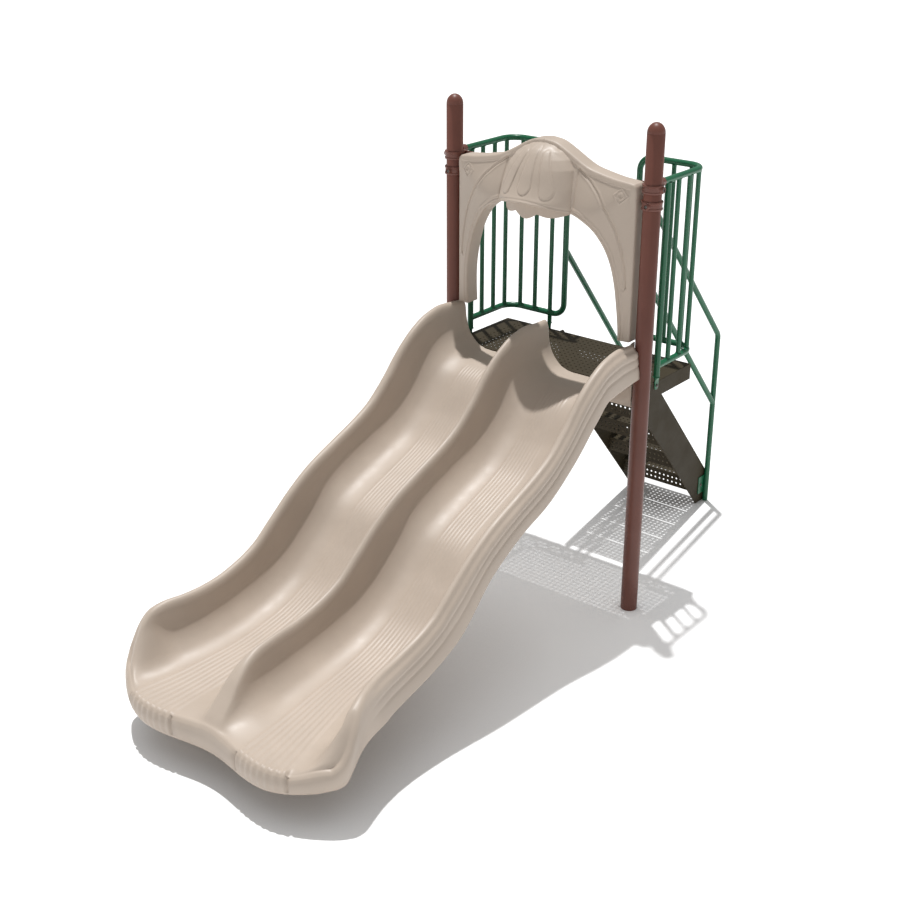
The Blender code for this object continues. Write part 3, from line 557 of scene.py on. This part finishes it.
def bolt_head(name, node, seat, axis, radius=BOLT_R, height=BOLT_HEIGHT):
    """A dome-headed bolt with a six-lobed recess round a centre pin, as vandal-resistant bolts have."""
    bm = bmesh.new()
    axis = Vector(axis).normalized()
    side, other = frame_at(axis)
    seat = Vector(seat)
    lobes = radius * 0.38
    # Each ring: its mean radius, how far its lobes swell, and its level as a share of the height.
    levels = [(radius, 0.0, 0.0), (radius, 0.0, 0.25)]
    levels += [(radius * math.cos(share * 1.1), 0.0, 0.25 + 0.75 * math.sin(share * 1.45))
               for share in (0.35, 0.6, 0.8)]
    levels += [(lobes * mean, lobes * swell, level) for mean, swell, level in (
        (1.06, 0.12, 1.0), (1.00, 0.14, 0.96), (0.96, 0.14, 0.35), (0.34, 0.0, 0.35), (0.32, 0.0, 0.88))]
    rings = []
    for mean, swell, level in levels:
        rings.append(circle(bm, seat + axis * height * level, side, other,
                            lambda a: mean + swell * math.cos(6 * a), 48))
    bridge(bm, rings)
    keep(add_object(name, bm), PLATED, node)


# ---------- deck and stair
def perforated_sheet(bm, at, u_size, v_size, holes, pitch, radius):
    """A sheet with a square grid of round holes. at(u, v, w) places a point; holes counts them each way."""
    sides = 16
    columns, rows = holes
    cache = {}
    left = -columns * pitch / 2
    near = (v_size[0] + v_size[1] - rows * pitch) / 2

    def vert(u, v, w):
        key = (round(u, 6), round(v, 6), w)
        if key not in cache:
            cache[key] = bm.verts.new(at(u, v, w))
        return cache[key]

    def quad(corners):
        for w, order in ((0.0, corners), (-SHEET, corners[::-1])):
            bm.faces.new([vert(u, v, w) for u, v in order])

    def edge(first, second):
        bm.faces.new([vert(*first, 0.0), vert(*second, 0.0), vert(*second, -SHEET), vert(*first, -SHEET)])

    turns = [2 * math.pi * (k - 2) / sides for k in range(sides)]
    square = []
    for k in range(sides):
        quarter, step = divmod(k, 4)
        along = -0.5 + step / 4
        square.append(((0.5, along), (-along, 0.5), (-0.5, -along), (along, -0.5))[quarter])
    for row in range(rows):
        for column in range(columns):
            u, v = left + (column + 0.5) * pitch, near + (row + 0.5) * pitch
            outer = [(u + su * pitch, v + sv * pitch) for su, sv in square]
            inner = [(u + radius * math.cos(a), v + radius * math.sin(a)) for a in turns]
            for k in range(sides):
                n = (k + 1) % sides
                quad([inner[k], outer[k], outer[n], inner[n]])
                edge(inner[k], inner[n])
    us = [u_size[0], *(left + k * pitch / 4 for k in range(columns * 4 + 1)), u_size[1]]
    vs = [v_size[0], *(near + k * pitch / 4 for k in range(rows * 4 + 1)), v_size[1]]
    across, up = list(zip(us, us[1:])), list(zip(vs, vs[1:]))
    for i, (ua, ub) in enumerate(across):
        for j, (va, vb) in enumerate(up):
            if i in (0, len(across) - 1) or j in (0, len(up) - 1):
                quad([(ua, va), (ub, va), (ub, vb), (ua, vb)])
    for v in v_size:
        for a, b in across:
            edge((a, v), (b, v))
    for u in u_size:
        for a, b in up:
            edge((u, a), (u, b))


def deck():
    bm = bmesh.new()
    perforated_sheet(bm, lambda u, v, w: (u, v, DECK_TOP + w), (-DECK_NOTCH_X, DECK_NOTCH_X),
                     (GAP, DECK_REAR), (33, 14), HOLE_PITCH_DECK, HOLE_R_DECK)
    for sign in (-1, 1):
        wing = sorted((sign * (DECK_NOTCH_X + SEAM), sign * DECK_HALF))
        box(bm, (wing[0], DECK_NOTCH_Y, DECK_TOP - SHEET), (wing[1], DECK_REAR, DECK_TOP))
    low = DECK_TOP - DECK_DEPTH
    outline = [(DECK_NOTCH_X, GAP), (DECK_NOTCH_X, DECK_NOTCH_Y), (DECK_HALF, DECK_NOTCH_Y),
               (DECK_HALF, DECK_REAR)]
    outline += [(-x, y) for x, y in reversed(outline)]
    inset = [(x - math.copysign(SHEET, x), y + (SHEET if y < DECK_REAR / 2 else -SHEET))
             for x, y in outline]
    for k, (start, inner_start) in enumerate(zip(outline, inset)):
        n = (k + 1) % len(outline)
        corners = [start, outline[n], inset[n], inner_start]
        prism(bm, [(x, y, low) for x, y in corners], (0, 0, DECK_DEPTH - SHEET - SEAM))
    keep(add_object("deck_sheet", bm), BRONZE, "deck")


def stair():
    front = DECK_REAR + GAP
    top = DECK_TOP - GAP
    upper_y = STRINGER_UPPER[0] - (top - STRINGER_UPPER[1]) / STAIR_SLOPE
    upper_end_z = STRINGER_UPPER[1] - (STAIR_END - STRINGER_UPPER[0]) * STAIR_SLOPE
    lower_z = STRINGER_LOWER[1] + (STRINGER_LOWER[0] - front) * STAIR_SLOPE
    lower_y = STRINGER_LOWER[0] + STRINGER_LOWER[1] / STAIR_SLOPE
    profile = [(front, top), (upper_y, top), (STAIR_END, upper_end_z), (STAIR_END, 0), (lower_y, 0),
               (front, lower_z)]
    for side, sign in SIDES:
        bm = bmesh.new()
        prism(bm, [(sign * STRINGER_X, y, z) for y, z in profile], (-sign * STRINGER_THICK, 0, 0))
        plate = add_object(f"stringer_plate_{side}", bm)
        add_bevel(plate, 0.0012)
        keep(plate, BRONZE, f"stringer_{side}")
    half = STRINGER_X - STRINGER_THICK - GAP
    for k in range(1, TREADS + 1):
        z = k * DECK_TOP / (TREADS + 1)
        rear = TREAD_REAR[0] + (TREAD_REAR[1] - z) / STAIR_SLOPE
        lead = rear - TREAD_DEPTH
        under = z - SHEET - SEAM
        bm = bmesh.new()
        perforated_sheet(bm, lambda u, v, w: (u, v, z + w), (-half, half), (lead, rear), (15, 6),
                         HOLE_PITCH_TREAD, HOLE_R_TREAD)
        for face, inwards in ((lead, 1), (rear, -1)):
            perforated_sheet(bm, lambda u, v, w: (u, face - inwards * w, under - v), (-half, half),
                             (0.0, TREAD_LIP - SHEET - SEAM), (15, 2), HOLE_PITCH_TREAD, HOLE_R_TREAD)
        keep(add_object(f"tread_sheet_{k}", bm), BRONZE, f"tread_{k}")


# ---------- barriers and handrails
def barrier(side, sign):
    x = sign * POST_X
    collar_face = POST_R + COLLAR_WALL + 0.003 + GAP
    end_x = sign * BARRIER_END_X
    run_top = rounded_path([(x, collar_face, BARRIER_TOP), (x, BARRIER_REAR, BARRIER_TOP),
                            (sign * 0.38, BARRIER_REAR, BARRIER_TOP)], BARRIER_BEND)
    end = [(sign * 0.34, BARRIER_REAR, BARRIER_TOP), (end_x, BARRIER_REAR, BARRIER_TOP),
           (end_x, BARRIER_REAR, BARRIER_BOTTOM), (sign * 0.34, BARRIER_REAR, BARRIER_BOTTOM)]
    end_bend = rounded_path(end, BARRIER_END_BEND)
    run_low = rounded_path([(sign * 0.38, BARRIER_REAR, BARRIER_BOTTOM), (x, BARRIER_REAR, BARRIER_BOTTOM),
                            (x, FRONT_TUBE_Y, BARRIER_BOTTOM)], BARRIER_BEND)
    hoop = run_top[:-1] + end_bend[1:-1] + run_low[1:]
    bar(f"barrier_hoop_{side}", f"barrier_frame_{side}", hoop, RAIL_R)

    low = BARRIER_BOTTOM + RAIL_R - WELD_SINK
    high = BARRIER_TOP - RAIL_R + WELD_SINK
    face = sign * (DECK_HALF + GAP)
    bm = bmesh.new()
    sweep_tube(bm, [(x, FRONT_TUBE_Y, FOOT_Z), (x, FRONT_TUBE_Y, high)], RAIL_R, 32, WELD)
    tab_foot(bm, (face + sign * TAB_THICK / 2, FRONT_TUBE_Y), (x, FRONT_TUBE_Y), (sign, 0, 0), RAIL_R,
             1.227)
    keep(add_object(f"barrier_upright_{side}", bm), GREEN, f"barrier_front_tube_{side}")

    bend_y = BARRIER_REAR - BARRIER_BEND
    pickets = []
    for k, y in enumerate(SIDE_PICKETS_Y, 1):
        reach = math.sqrt(BARRIER_BEND ** 2 - max(y - bend_y, 0) ** 2)
        pickets.append(("side", k, x - sign * (BARRIER_BEND - reach), y))
    for k, picket_x in enumerate(REAR_PICKETS_X, 1):
        pickets.append(("rear", k, sign * picket_x, BARRIER_REAR))
    for face_name, k, px, py in pickets:
        bar(f"barrier_{face_name}_bar_{side}_{k}", f"barrier_{face_name}_picket_{side}_{k}",
            [(px, py, low), (px, py, high)], PICKET_R, 28, WELD)

    foot_x = sign * REAR_PICKETS_X[-1]
    bm = bmesh.new()
    head_z = BARRIER_BOTTOM - RAIL_R + WELD_SINK
    sweep_tube(bm, [(foot_x, BARRIER_REAR, FOOT_Z), (foot_x, BARRIER_REAR, head_z)], PICKET_R, 28, WELD)
    tab_foot(bm, (foot_x, DECK_REAR + GAP + TAB_THICK / 2), (foot_x, BARRIER_REAR), (0, 1, 0), PICKET_R,
             1.205)
    keep(add_object(f"barrier_foot_bar_{side}", bm), GREEN, f"barrier_foot_{side}")
    bolt_head(f"barrier_side_screw_{side}", f"barrier_side_bolt_{side}",
              (face + sign * (TAB_THICK + GAP), FRONT_TUBE_Y, 1.2505), (sign, 0, 0))
    bolt_head(f"barrier_foot_screw_{side}", f"barrier_foot_bolt_{side}",
              (foot_x, DECK_REAR + 2 * GAP + TAB_THICK, 1.232), (0, 1, 0))


def bar(name, node, path, radius, sides=32, weld=None):
    bm = bmesh.new()
    sweep_tube(bm, path, radius, sides, weld)
    keep(add_object(name, bm), GREEN, node)


def tab_foot(bm, tab, tube, out, radius, bottom):
    """The flattened end of a tube: a round section that is pressed to a flat, round-ended tab."""
    out = Vector(out)
    across = out.cross(Vector((0, 0, 1)))
    steps = 24
    sections = []
    top = FOOT_Z + 0.004
    half = TAB_THICK / 2
    width = radius * 1.18
    for share, squash in ((0.0, 0.0), (0.2, 0.12), (0.4, 0.45), (0.6, 0.8), (0.8, 0.97), (1.0, 1.0)):
        z = top - 0.030 * share
        mid = Vector((*tube, z)).lerp(Vector((*tab, z)), squash)
        wide = radius + (width - radius) * squash
        thick = radius + (half - radius) * squash
        sections.append((mid, wide, thick))
    for share in (0.35, 0.6, 0.8, 0.92, 0.99):
        z = bottom + width * (1 - share)
        wide = width * math.sqrt(max(1 - share ** 2, 0.0))
        sections.append((Vector((*tab, z)), max(wide, 0.001), half))
    rings = []
    for mid, wide, thick in sections:
        ring = []
        for k in range(steps):
            a = 2 * math.pi * k / steps
            c, s = math.cos(a), math.sin(a)
            if thick < radius * 0.5:
                c = math.copysign(abs(c) ** 0.45, c)
                s = math.copysign(abs(s) ** 0.45, s)
            ring.append(bm.verts.new(mid + across * wide * c + out * thick * s))
        rings.append(ring)
    bridge(bm, rings)


def handrail(side, sign):
    x = sign * HANDRAIL_X
    end_x = sign * HANDRAIL_END_X
    path = rounded_path([(x, HANDRAIL_Y, 0), (x, HANDRAIL_Y, HANDRAIL_BEND_Z),
                         (end_x, HANDRAIL_END_Y, HANDRAIL_TOP_Z)], 0.060)
    face = sign * (STRINGER_X + GAP)
    bm = bmesh.new()
    sweep_tube(bm, path, RAIL_R, 32)
    near, far = sorted((face, face + sign * PLATE_THICK))
    box(bm, (near, HANDRAIL_Y - 0.075, 0.060), (far, HANDRAIL_Y, 0.175))
    rail = add_object(f"handrail_bar_{side}", bm)
    add_bevel(rail, 0.0015, 60.0)
    keep(rail, GREEN, f"handrail_{side}")
    bar(f"handrail_low_bar_{side}", f"handrail_lower_{side}",
        [(x, HANDRAIL_Y, HANDRAIL_LOW_FROM_Z), (end_x, HANDRAIL_END_Y, HANDRAIL_LOW_TO_Z)], RAIL_R)
    bolt_head(f"handrail_screw_{side}", f"handrail_bolt_{side}",
              (face + sign * (PLATE_THICK + GAP), HANDRAIL_Y - 0.050, 0.118), (sign, 0, 0))


# ---------- arch panel
def along_stations(u, which):
    """A smooth walk through the panel's stations, u from 0 to 1, on its opening (0) or outer edge (1)."""
    points = [station[which] for station in PANEL_STATIONS]
    span = u * (len(points) - 1)
    i = min(int(span), len(points) - 2)
    t = span - i
    before, after = max(i - 1, 0), min(i + 2, len(points) - 1)
    walk = []
    for axis in (0, 1):
        p0, p1, p2, p3 = (points[j][axis] for j in (before, i, i + 1, after))
        cubic = 3 * (p1 - p2) + p3 - p0
        square = 2 * p0 - 5 * p1 + 4 * p2 - p3
        walk.append(p1 + 0.5 * t * (p2 - p0 + t * (square + t * cubic)))
    return walk


def smooth_step(value, low, high):
    t = np.clip((value - low) / (high - low), 0.0, 1.0)
    return t * t * (3 - 2 * t)


def line_distance(x, z, points):
    """Distance from each (x, z) to a line of points, and how far along the line the nearest spot is."""
    best = np.full(x.shape, 9.0)
    share = np.zeros(x.shape)
    for k, ((x0, z0), (x1, z1)) in enumerate(zip(points, points[1:])):
        dx, dz = x1 - x0, z1 - z0
        t = np.clip(((x - x0) * dx + (z - z0) * dz) / (dx * dx + dz * dz), 0.0, 1.0)
        away = np.hypot(x - x0 - t * dx, z - z0 - t * dz)
        closer = away < best
        best = np.where(closer, away, best)
        share = np.where(closer, (k + t) / (len(points) - 1), share)
    return best, share


def shell_front(x, z, behind):
    """How far forward the shell reaches: a rounded bulge in plan at each height, before the face."""
    heights = [height for height, _ in SHELL_WIDTH]
    width = np.interp(z, heights, [w for _, w in SHELL_WIDTH])
    forward = curve_through(SHELL_REACH)
    reach = np.vectorize(forward)(z)
    inside = (x < width) & (z < heights[-1])
    round_off = np.clip(1 - (x / width) ** 2, 0.0, 1.0) ** 0.72
    return np.where(inside, behind + np.minimum(reach - behind, 0.0) * round_off, behind)


def ridge(distance, height, width):
    """A rounded raised line, or with a negative height a groove."""
    return height * np.exp(-(distance / width) ** 2)


def panel_relief(x, z, opening, rim):
    """Raised and grooved lines of the moulding, as a height in metres. opening and rim are distances."""
    height = np.zeros(x.shape)
    for top, bottom, narrow, wide in TONGUES:
        away, share = line_distance(x, z, (top, bottom))
        edge = away - narrow - (wide - narrow) * share
        height += 0.0045 * smooth_step(-edge, -0.002, 0.006) + ridge(edge, -0.0030, 0.0045)
    line, _ = line_distance(x, z, WING_LINE)
    height += ridge(line, -0.0042, 0.0048) + ridge(line - 0.010, 0.0022, 0.005)
    tip, _ = line_distance(x, z, WING_TIP)
    fold, _ = line_distance(x, z, FOLD_LINE)
    height += ridge(tip, -0.0035, 0.004) + ridge(fold, -0.0045, 0.005)
    beyond = smooth_step(x, 0.205, 0.222)
    band = 0.0035 * smooth_step(0.034 - opening, -0.003, 0.004)
    height += beyond * (band + ridge(opening - 0.019, -0.0030, 0.0035))
    height += (1 - beyond) * ridge(opening - 0.016, -0.0035, 0.004)
    height += 0.0045 * smooth_step(0.030 - rim, -0.004, 0.006) * smooth_step(z, 2.20, 2.30)
    dx, dz = x - MOTIF[0], z - MOTIF[1]
    height += ridge(np.hypot(dx, dz) - 0.014, 0.0035, 0.0040)
    height += ridge(np.abs(dx) + np.abs(dz) - 0.038, 0.0030, 0.0045)
    return height


def valance_edge(x):
    """Height of the scalloped strip that hangs behind the shell's lip."""
    if x < 0.062:
        return 2.124 - 0.029 * math.cos(math.pi * x / 0.124)
    return 2.127 - 0.018 * math.cos(math.pi * (x - 0.131) / 0.142)


def arch_panel():
    along, across = 330, 96
    inside = np.array([along_stations(i / along, 0) for i in range(along + 1)])
    outside = np.array([along_stations(i / along, 1) for i in range(along + 1)])
    t = (np.arange(across + 1) / across)[None, :]
    x = inside[:, :1] + (outside[:, :1] - inside[:, :1]) * t
    z = inside[:, 1:] + (outside[:, 1:] - inside[:, 1:]) * t
    opening, _ = line_distance(x, z, inside[::4])
    rim, _ = line_distance(x, z, outside[::4])
    bulge = 0.018 + (PANEL_BULGE - 0.018) * smooth_step(0.50 - inside[:, :1], 0.0, 0.285)
    bulge = bulge * smooth_step(inside[:, 1:], PANEL_BOTTOM - 0.06, PANEL_BOTTOM + 0.25)
    plain = PANEL_FRONT - bulge * np.cos(np.pi / 2 * t) ** 1.3
    y = shell_front(x, z, plain) - panel_relief(x, z, opening, rim)
    edge = np.clip(1 - np.minimum(opening, rim) / PANEL_ROUNDING, 0.0, 1.0)
    y = y + PANEL_ROUNDING * (1 - np.sqrt(1 - edge ** 2))
    back_y = np.minimum(PANEL_BACK, shell_front(x, z, plain) + PANEL_DEPTH + 0.002)
    bm = bmesh.new()
    rings = []
    for i in range(along + 1):
        ring = [bm.verts.new((x[i, k], y[i, k], z[i, k])) for k in range(across + 1)]
        ring += [bm.verts.new((x[i, k], back_y[i, k], z[i, k])) for k in range(across, -1, -4)]
        hem = valance_edge(inside[i, 0]) if inside[i, 0] < VALANCE_X else inside[i, 1]
        lip = y[i, 0]
        depth = back_y[i, 0] - 0.004 - lip
        for share, level in ((1.0, hem), (0.8, hem), (0.79, z[i, 0] + 0.0004)):
            ring.append(bm.verts.new((x[i, 0], lip + depth * share, level)))
        rings.append(ring)
    bridge(bm, rings, caps=False)
    bm.faces.new(rings[0])
    panel = add_object("arch_moulding", bm, 50)
    add_mirror(panel)
    keep(panel, BEIGE, "arch_panel")


# ---------- slide
bed_at = curve_through(BED)
crest_at = curve_through(CREST)
divider_end_at = curve_through(DIVIDER_END)
rail_at = curve_through(RAIL_LINE)
skirt_at = curve_through(SKIRT)
wall_at = curve_through(WALL)
rib_centre = curve_through(((0.10, 0.270), (-0.80, 0.272), (-1.90, 0.288), (-2.20, 0.315), (-2.60, 0.358)))
rib_spread = curve_through(((0.10, 0.065), (-0.80, 0.070), (-1.90, 0.083), (-2.20, 0.100), (-2.60, 0.130)))
rib_rise = curve_through(((0.10, 0.0), (-0.20, 0.0), (-0.26, 0.0018), (-1.60, 0.0020), (-2.20, 0.0030),
                          (-2.60, 0.0034)))
WALL_STEPS = (0.0, 0.004, 0.008, 0.012, 0.016, 0.020, 0.024, 0.027, 0.030, 0.034, 0.040, 0.048, 0.058,
              0.070, 0.084, 0.100, 0.118)
WALL_ROOM = 0.135  # what an inner wall takes up where nothing squeezes it
ROLL_WIDTH = 0.16  # how far the rolled end of a rail reaches in over the lane
ROLL_DROP = 0.012


def wall_share(distance):
    return 0.0 if distance >= WALL[-1][0] else wall_at(max(distance, 0.0))


def ease(value, low, high):
    t = min(max((value - low) / (high - low), 0.0), 1.0)
    return t * t * (3 - 2 * t)


def lip_y(x):
    """The exit's front edge: a rounded lobe before each lane and a shallow recess between them."""
    if x < LOBE_X:
        return LIP_Y + 0.0225 * (1 - math.cos(math.pi * (LOBE_X - x) / LOBE_X))
    return LIP_Y + (SIDE_END - LIP_Y) * ((x - LOBE_X) / (CORNER_X - LOBE_X)) ** 1.9


def rib_height(q):
    """Height of the ribs at q, which runs from -1 to 1 across the group."""
    phase = (q + 1) / 2 * (RIBS - 1)
    near = abs(phase - round(phase))
    if abs(q) > 1:
        near = (abs(q) - 1) / 2 * (RIBS - 1)
    return 0.0 if near > 0.5 else 0.5 + 0.5 * math.cos(2 * math.pi * near)


def rib_margin(spread):
    """From the middle of the ribs to where the plain bed begins."""
    return spread * (1 + 1.0 / (RIBS - 1)) + 0.004


def rail_squeeze(rail_x, centre, spread):
    """How much narrower a rail's inner wall is where the ribs leave it less room."""
    return min(1.0, (rail_x - centre - rib_margin(spread)) / WALL_ROOM)


def lane_columns(rail_x, centre, spread):
    """Column positions across half the slide, closest together on the ribs and on the crests."""
    left, right = centre - rib_margin(spread), centre + rib_margin(spread)
    columns = [distance * min(1.0, left / WALL_ROOM) for distance in WALL_STEPS]
    columns.append((columns[-1] + left) / 2)
    steps = 6 * (RIBS + 1)
    columns += [left + (right - left) * k / steps for k in range(steps + 1)]
    scale = rail_squeeze(rail_x, centre, spread)
    columns.append((right + rail_x - WALL_STEPS[-1] * scale) / 2)
    return columns + [rail_x - distance * scale for distance in reversed(WALL_STEPS)]


def slide_rows():
    """Distances down the slide at which its section is drawn, from the head to where the exit begins."""
    rows = [0.0, -0.004, -0.010, -0.018]
    while rows[-1] > EXIT_START + 0.01:
        rows.append(rows[-1] - 0.016)
    rows.append(EXIT_START)
    return rows


def slide_grid():
    """Half of the sliding surface: straight rows, then rows that fan out to the exit's curved edge."""
    grid = []
    for y in slide_rows():
        bed, rise, rail_x = bed_at(y), crest_at(y) - bed_at(y), rail_at(y)
        row = []
        for x in lane_columns(rail_x, rib_centre(y), rib_spread(y)):
            share = max(wall_share(x), wall_share(rail_x - x))
            q = (x - rib_centre(y)) / rib_spread(y)
            row.append(Vector((x, y, bed + rise * share + rib_rise(y) * rib_height(q))))
        grid.append(row)
    count = 48
    end_columns = lane_columns(CORNER_X, rib_centre(LIP_Y), rib_spread(LIP_Y))
    for k in range(1, count + 1):
        t = 1 - (1 - k / count) ** 1.35
        side_y = EXIT_START + (SIDE_END - EXIT_START) * t
        rail_x = rail_at(side_y)
        middle_y = EXIT_START + (LIP_Y - EXIT_START) * t
        centre, spread = rib_centre(middle_y), rib_spread(middle_y)
        squeeze = rail_squeeze(rail_x, centre, spread)
        rail_rise = crest_at(side_y) - bed_at(side_y)
        row = []
        for x, end_x in zip(lane_columns(rail_x, centre, spread), end_columns):
            y = EXIT_START + (lip_y(end_x) - EXIT_START) * t
            blunt = ease(-y, 2.12, 2.44)
            divider = wall_share((x - 0.016 * blunt) / (1 + 0.45 * blunt))
            z = bed_at(y) + (divider_end_at(y) - bed_at(y)) * divider
            inward = max(rail_x - x, 0.0)
            rolled = 0.5 + 0.5 * math.cos(math.pi * min(inward / ROLL_WIDTH, 1.0))
            round_off = ease(t, 0.45, 0.85)
            upright = wall_share((inward - 0.010 * round_off) / squeeze)
            z += rail_rise * (upright + (rolled - upright) * round_off)
            to_edge = min(inward, y - lip_y(end_x) + 0.2 * (1 - ease(end_x, 0.42, 0.50)))
            z -= ROLL_DROP * round_off * max(1 - to_edge / 0.036, 0.0) ** 2
            z += rib_rise(y) * rib_height((x - centre) / spread) * (1 + 0.8 * ease(t, 0.955, 1.0))
            row.append(Vector((x, y, z)))
        grid.append(row)
    return grid


def plan_direction(edge, arc, k, reach):
    """Which way the slide's outer edge runs in plan at point k, averaged over a stretch of it."""
    first = next((j for j in range(k, -1, -1) if arc[k] - arc[j] >= reach), 0)
    last = next((j for j in range(k, len(edge)) if arc[j] - arc[k] >= reach), len(edge) - 1)
    return (edge[last].co - edge[first].co).to_2d().normalized()


def double_slide():
    """The moulding: its lanes, the flange at its head, and the skirt round its outer edge."""
    grid = slide_grid()
    bm = bmesh.new()
    lanes = [[bm.verts.new(point) for point in row] for row in grid]

    def quads(rows):
        for first, second in zip(rows, rows[1:]):
            for a, b, c, d in zip(first, first[1:], second[1:], second):
                bm.faces.new((a, b, c, d))

    quads(lanes)
    head = lanes[0]
    flange = [head]
    for share in (0.02, 0.06, 0.2, 0.4, 0.6, 0.8, 1.0):
        flange.append([bm.verts.new((v.co.x, v.co.y, v.co.z + (SLIDE_FLANGE_Z - v.co.z) * share))
                       for v in head])
    quads(flange[::-1])
    edge = [row[-1] for row in lanes if row[-1].co.y <= -0.049]
    corner = len(edge) - 1
    edge += lanes[-1][-2::-1]
    arc = [0.0]
    for a, b in zip(edge, edge[1:]):
        arc.append(arc[-1] + (b.co - a.co).to_2d().length)
    beaded, plain, tucked, lip_out = (curve_through([(-drop, out) for out, drop in profile])
                                      for profile in (FLANK, FLANK_PLAIN, FLANK_EXIT, LIP))
    centre, spread = rib_centre(LIP_Y), rib_spread(LIP_Y)
    samples = 36
    skirt = []
    for k, vert in enumerate(edge):
        along = plan_direction(edge, arc, k, 0.020 + 0.035 * ease(-vert.co.y, 2.0, 2.3))
        if k == 0:
            along = Vector((0, -1))
        elif k == len(edge) - 1:
            along = Vector((-1, 0))
        outward = Vector((-along.y, along.x))
        past = arc[k] - arc[corner]
        turn = ease(past, -0.14, 0.06)
        relief = 0.75 * (1 - ease(-vert.co.y, 1.95, 2.25))
        tuck = ease(-vert.co.y, 2.00, 2.28)
        front_z = 0.155 + 0.045 * min(vert.co.x / CORNER_X, 1.0) ** 3
        low = skirt_at(vert.co.y) * (1 - ease(past, -0.08, 0.04)) + front_z * ease(past, -0.08, 0.04)
        drop = vert.co.z - low
        q = (vert.co.x - centre) / spread
        at_lip = ease(past, 0.0, 0.01)
        zone = at_lip * (1.0 if abs(q) < 1.085 else 0.0)
        slot = at_lip * (1.0 if 1.085 <= abs(q) < 1.135 else 0.0)
        column = [vert]
        for j in range(1, samples + 1):
            down = (j / samples) ** 1.3
            side = plain(-down) + (beaded(-down) - plain(-down)) * relief
            side += (tucked(-down) - side) * tuck
            out = side * (1 - turn) + lip_out(-down) * turn
            fade = ease(down, 0.03, 0.12) * (1 - ease(down, 0.80, 0.93))
            out += zone * (0.0040 * rib_height(q) - 0.0022) * fade - slot * 0.009 * fade
            column.append(bm.verts.new((vert.co.x + outward.x * out, vert.co.y + outward.y * out,
                                        vert.co.z - drop * down)))
        if k == len(edge) - 1:
            for item in column:
                item.co.x = 0.0
        skirt.append(column)
    quads(skirt)
    slide = add_object("slide_moulding", bm, 180.0, closed=False)
    add_mirror(slide)
    shell = slide.modifiers.new("wall", "SOLIDIFY")
    shell.thickness = SLIDE_WALL
    shell.offset = -1.0
    keep(slide, BEIGE, "double_slide")


def exit_legs():
    top = bed_at(LEG_Y) - SLIDE_WALL - 0.008
    for side, sign in SIDES:
        bm = bmesh.new()
        lathe(bm, [(0, top), (0.054, top), (0.055, top - 0.001), (0.055, top - 0.005), (0.054, top - 0.006),
                   (0.028, top - 0.006), (0.0245, top - 0.009), (0.024, top - 0.012), (0.024, 0.016),
                   (0.0245, 0.013), (0.028, 0.010), (0.069, 0.010), (0.070, 0.009), (0.070, 0), (0, 0)],
              (sign * LEG_X, LEG_Y, 0), steps=48)
        keep(add_object(f"exit_post_{side}", bm), BRONZE, f"exit_leg_{side}")


# ---------- build
for side_name, side_sign in SIDES:
    posts(side_name, side_sign)
    collar(side_name, side_sign, "upper", COLLAR_UPPER_Z, 0, True)
    collar(side_name, side_sign, "lower", COLLAR_LOWER_Z, -90, False)
    barrier(side_name, side_sign)
    handrail(side_name, side_sign)
    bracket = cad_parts[f"deck_bracket_{side_name}"]
    bracket.data.materials.clear()
    bracket.data.materials.append(BRONZE[0])
deck()
stair()
arch_panel()
double_slide()
exit_legs()

# ---------- floor, light, camera
SUN_DIRECTION = (0.157, -0.109, -0.98)
CAMERA_AT = (4.0798, -5.8076, 3.8977)
CAMERA_TILT = 23.88
CAMERA_TURN = 39.116
bpy.ops.mesh.primitive_plane_add(size=60.0, location=(0, 0, -0.0006))
floor = bpy.context.object
floor.name = "studio_floor"
floor_nodes = Nodes("studio_floor")
for socket, value in (("Base Color", (0.80, 0.80, 0.80, 1.0)), ("Roughness", 0.9),
                      ("Emission Color", (1.0, 1.0, 1.0, 1.0))):
    floor_nodes.shader.inputs[socket].default_value = value
# The floor glows with painted light from its emission. The glow fades to nothing where the ambient
# occlusion finds things close by, which paints a contact shadow under and around the playset.
painted_shadow_occlusion = floor_nodes.add("AmbientOcclusion", Distance=1.1)
painted_shadow_occlusion.samples = 8
floor_nodes.link(floor_nodes.remap(painted_shadow_occlusion.outputs["AO"], 0.35, 0.90, 0.0, 0.27),
                 floor_nodes.shader.inputs["Emission Strength"])
floor.data.materials.append(floor_nodes.material)

sun_data = bpy.data.lights.new("key_sun", "SUN")
sun_data.energy = 3.3
sun_data.angle = math.radians(1.2)
sun = bpy.data.objects.new("key_sun", sun_data)
sun.rotation_euler = Vector(SUN_DIRECTION).to_track_quat("-Z", "Y").to_euler()
bpy.context.scene.collection.objects.link(sun)

world = bpy.data.worlds.new("studio")
world.use_nodes = True
backdrop = world.node_tree.nodes["Background"].inputs
backdrop["Color"].default_value = (1.0, 1.0, 1.0, 1.0)
backdrop["Strength"].default_value = 0.38
bpy.context.scene.world = world
bpy.context.scene.view_settings.view_transform = "Standard"

camera_data = bpy.data.cameras.new("camera")
camera_data.sensor_width = 36.0
camera_data.lens = 56.5968
camera_data.clip_end = 100.0
camera = bpy.data.objects.new("camera", camera_data)
camera.location = Vector(CAMERA_AT) + Vector((0, BASE_Y, 0))
camera.rotation_euler = (math.radians(90 - CAMERA_TILT), 0.0, math.radians(CAMERA_TURN))
bpy.context.scene.collection.objects.link(camera)
bpy.context.scene.camera = camera

bpy.context.view_layer.update()
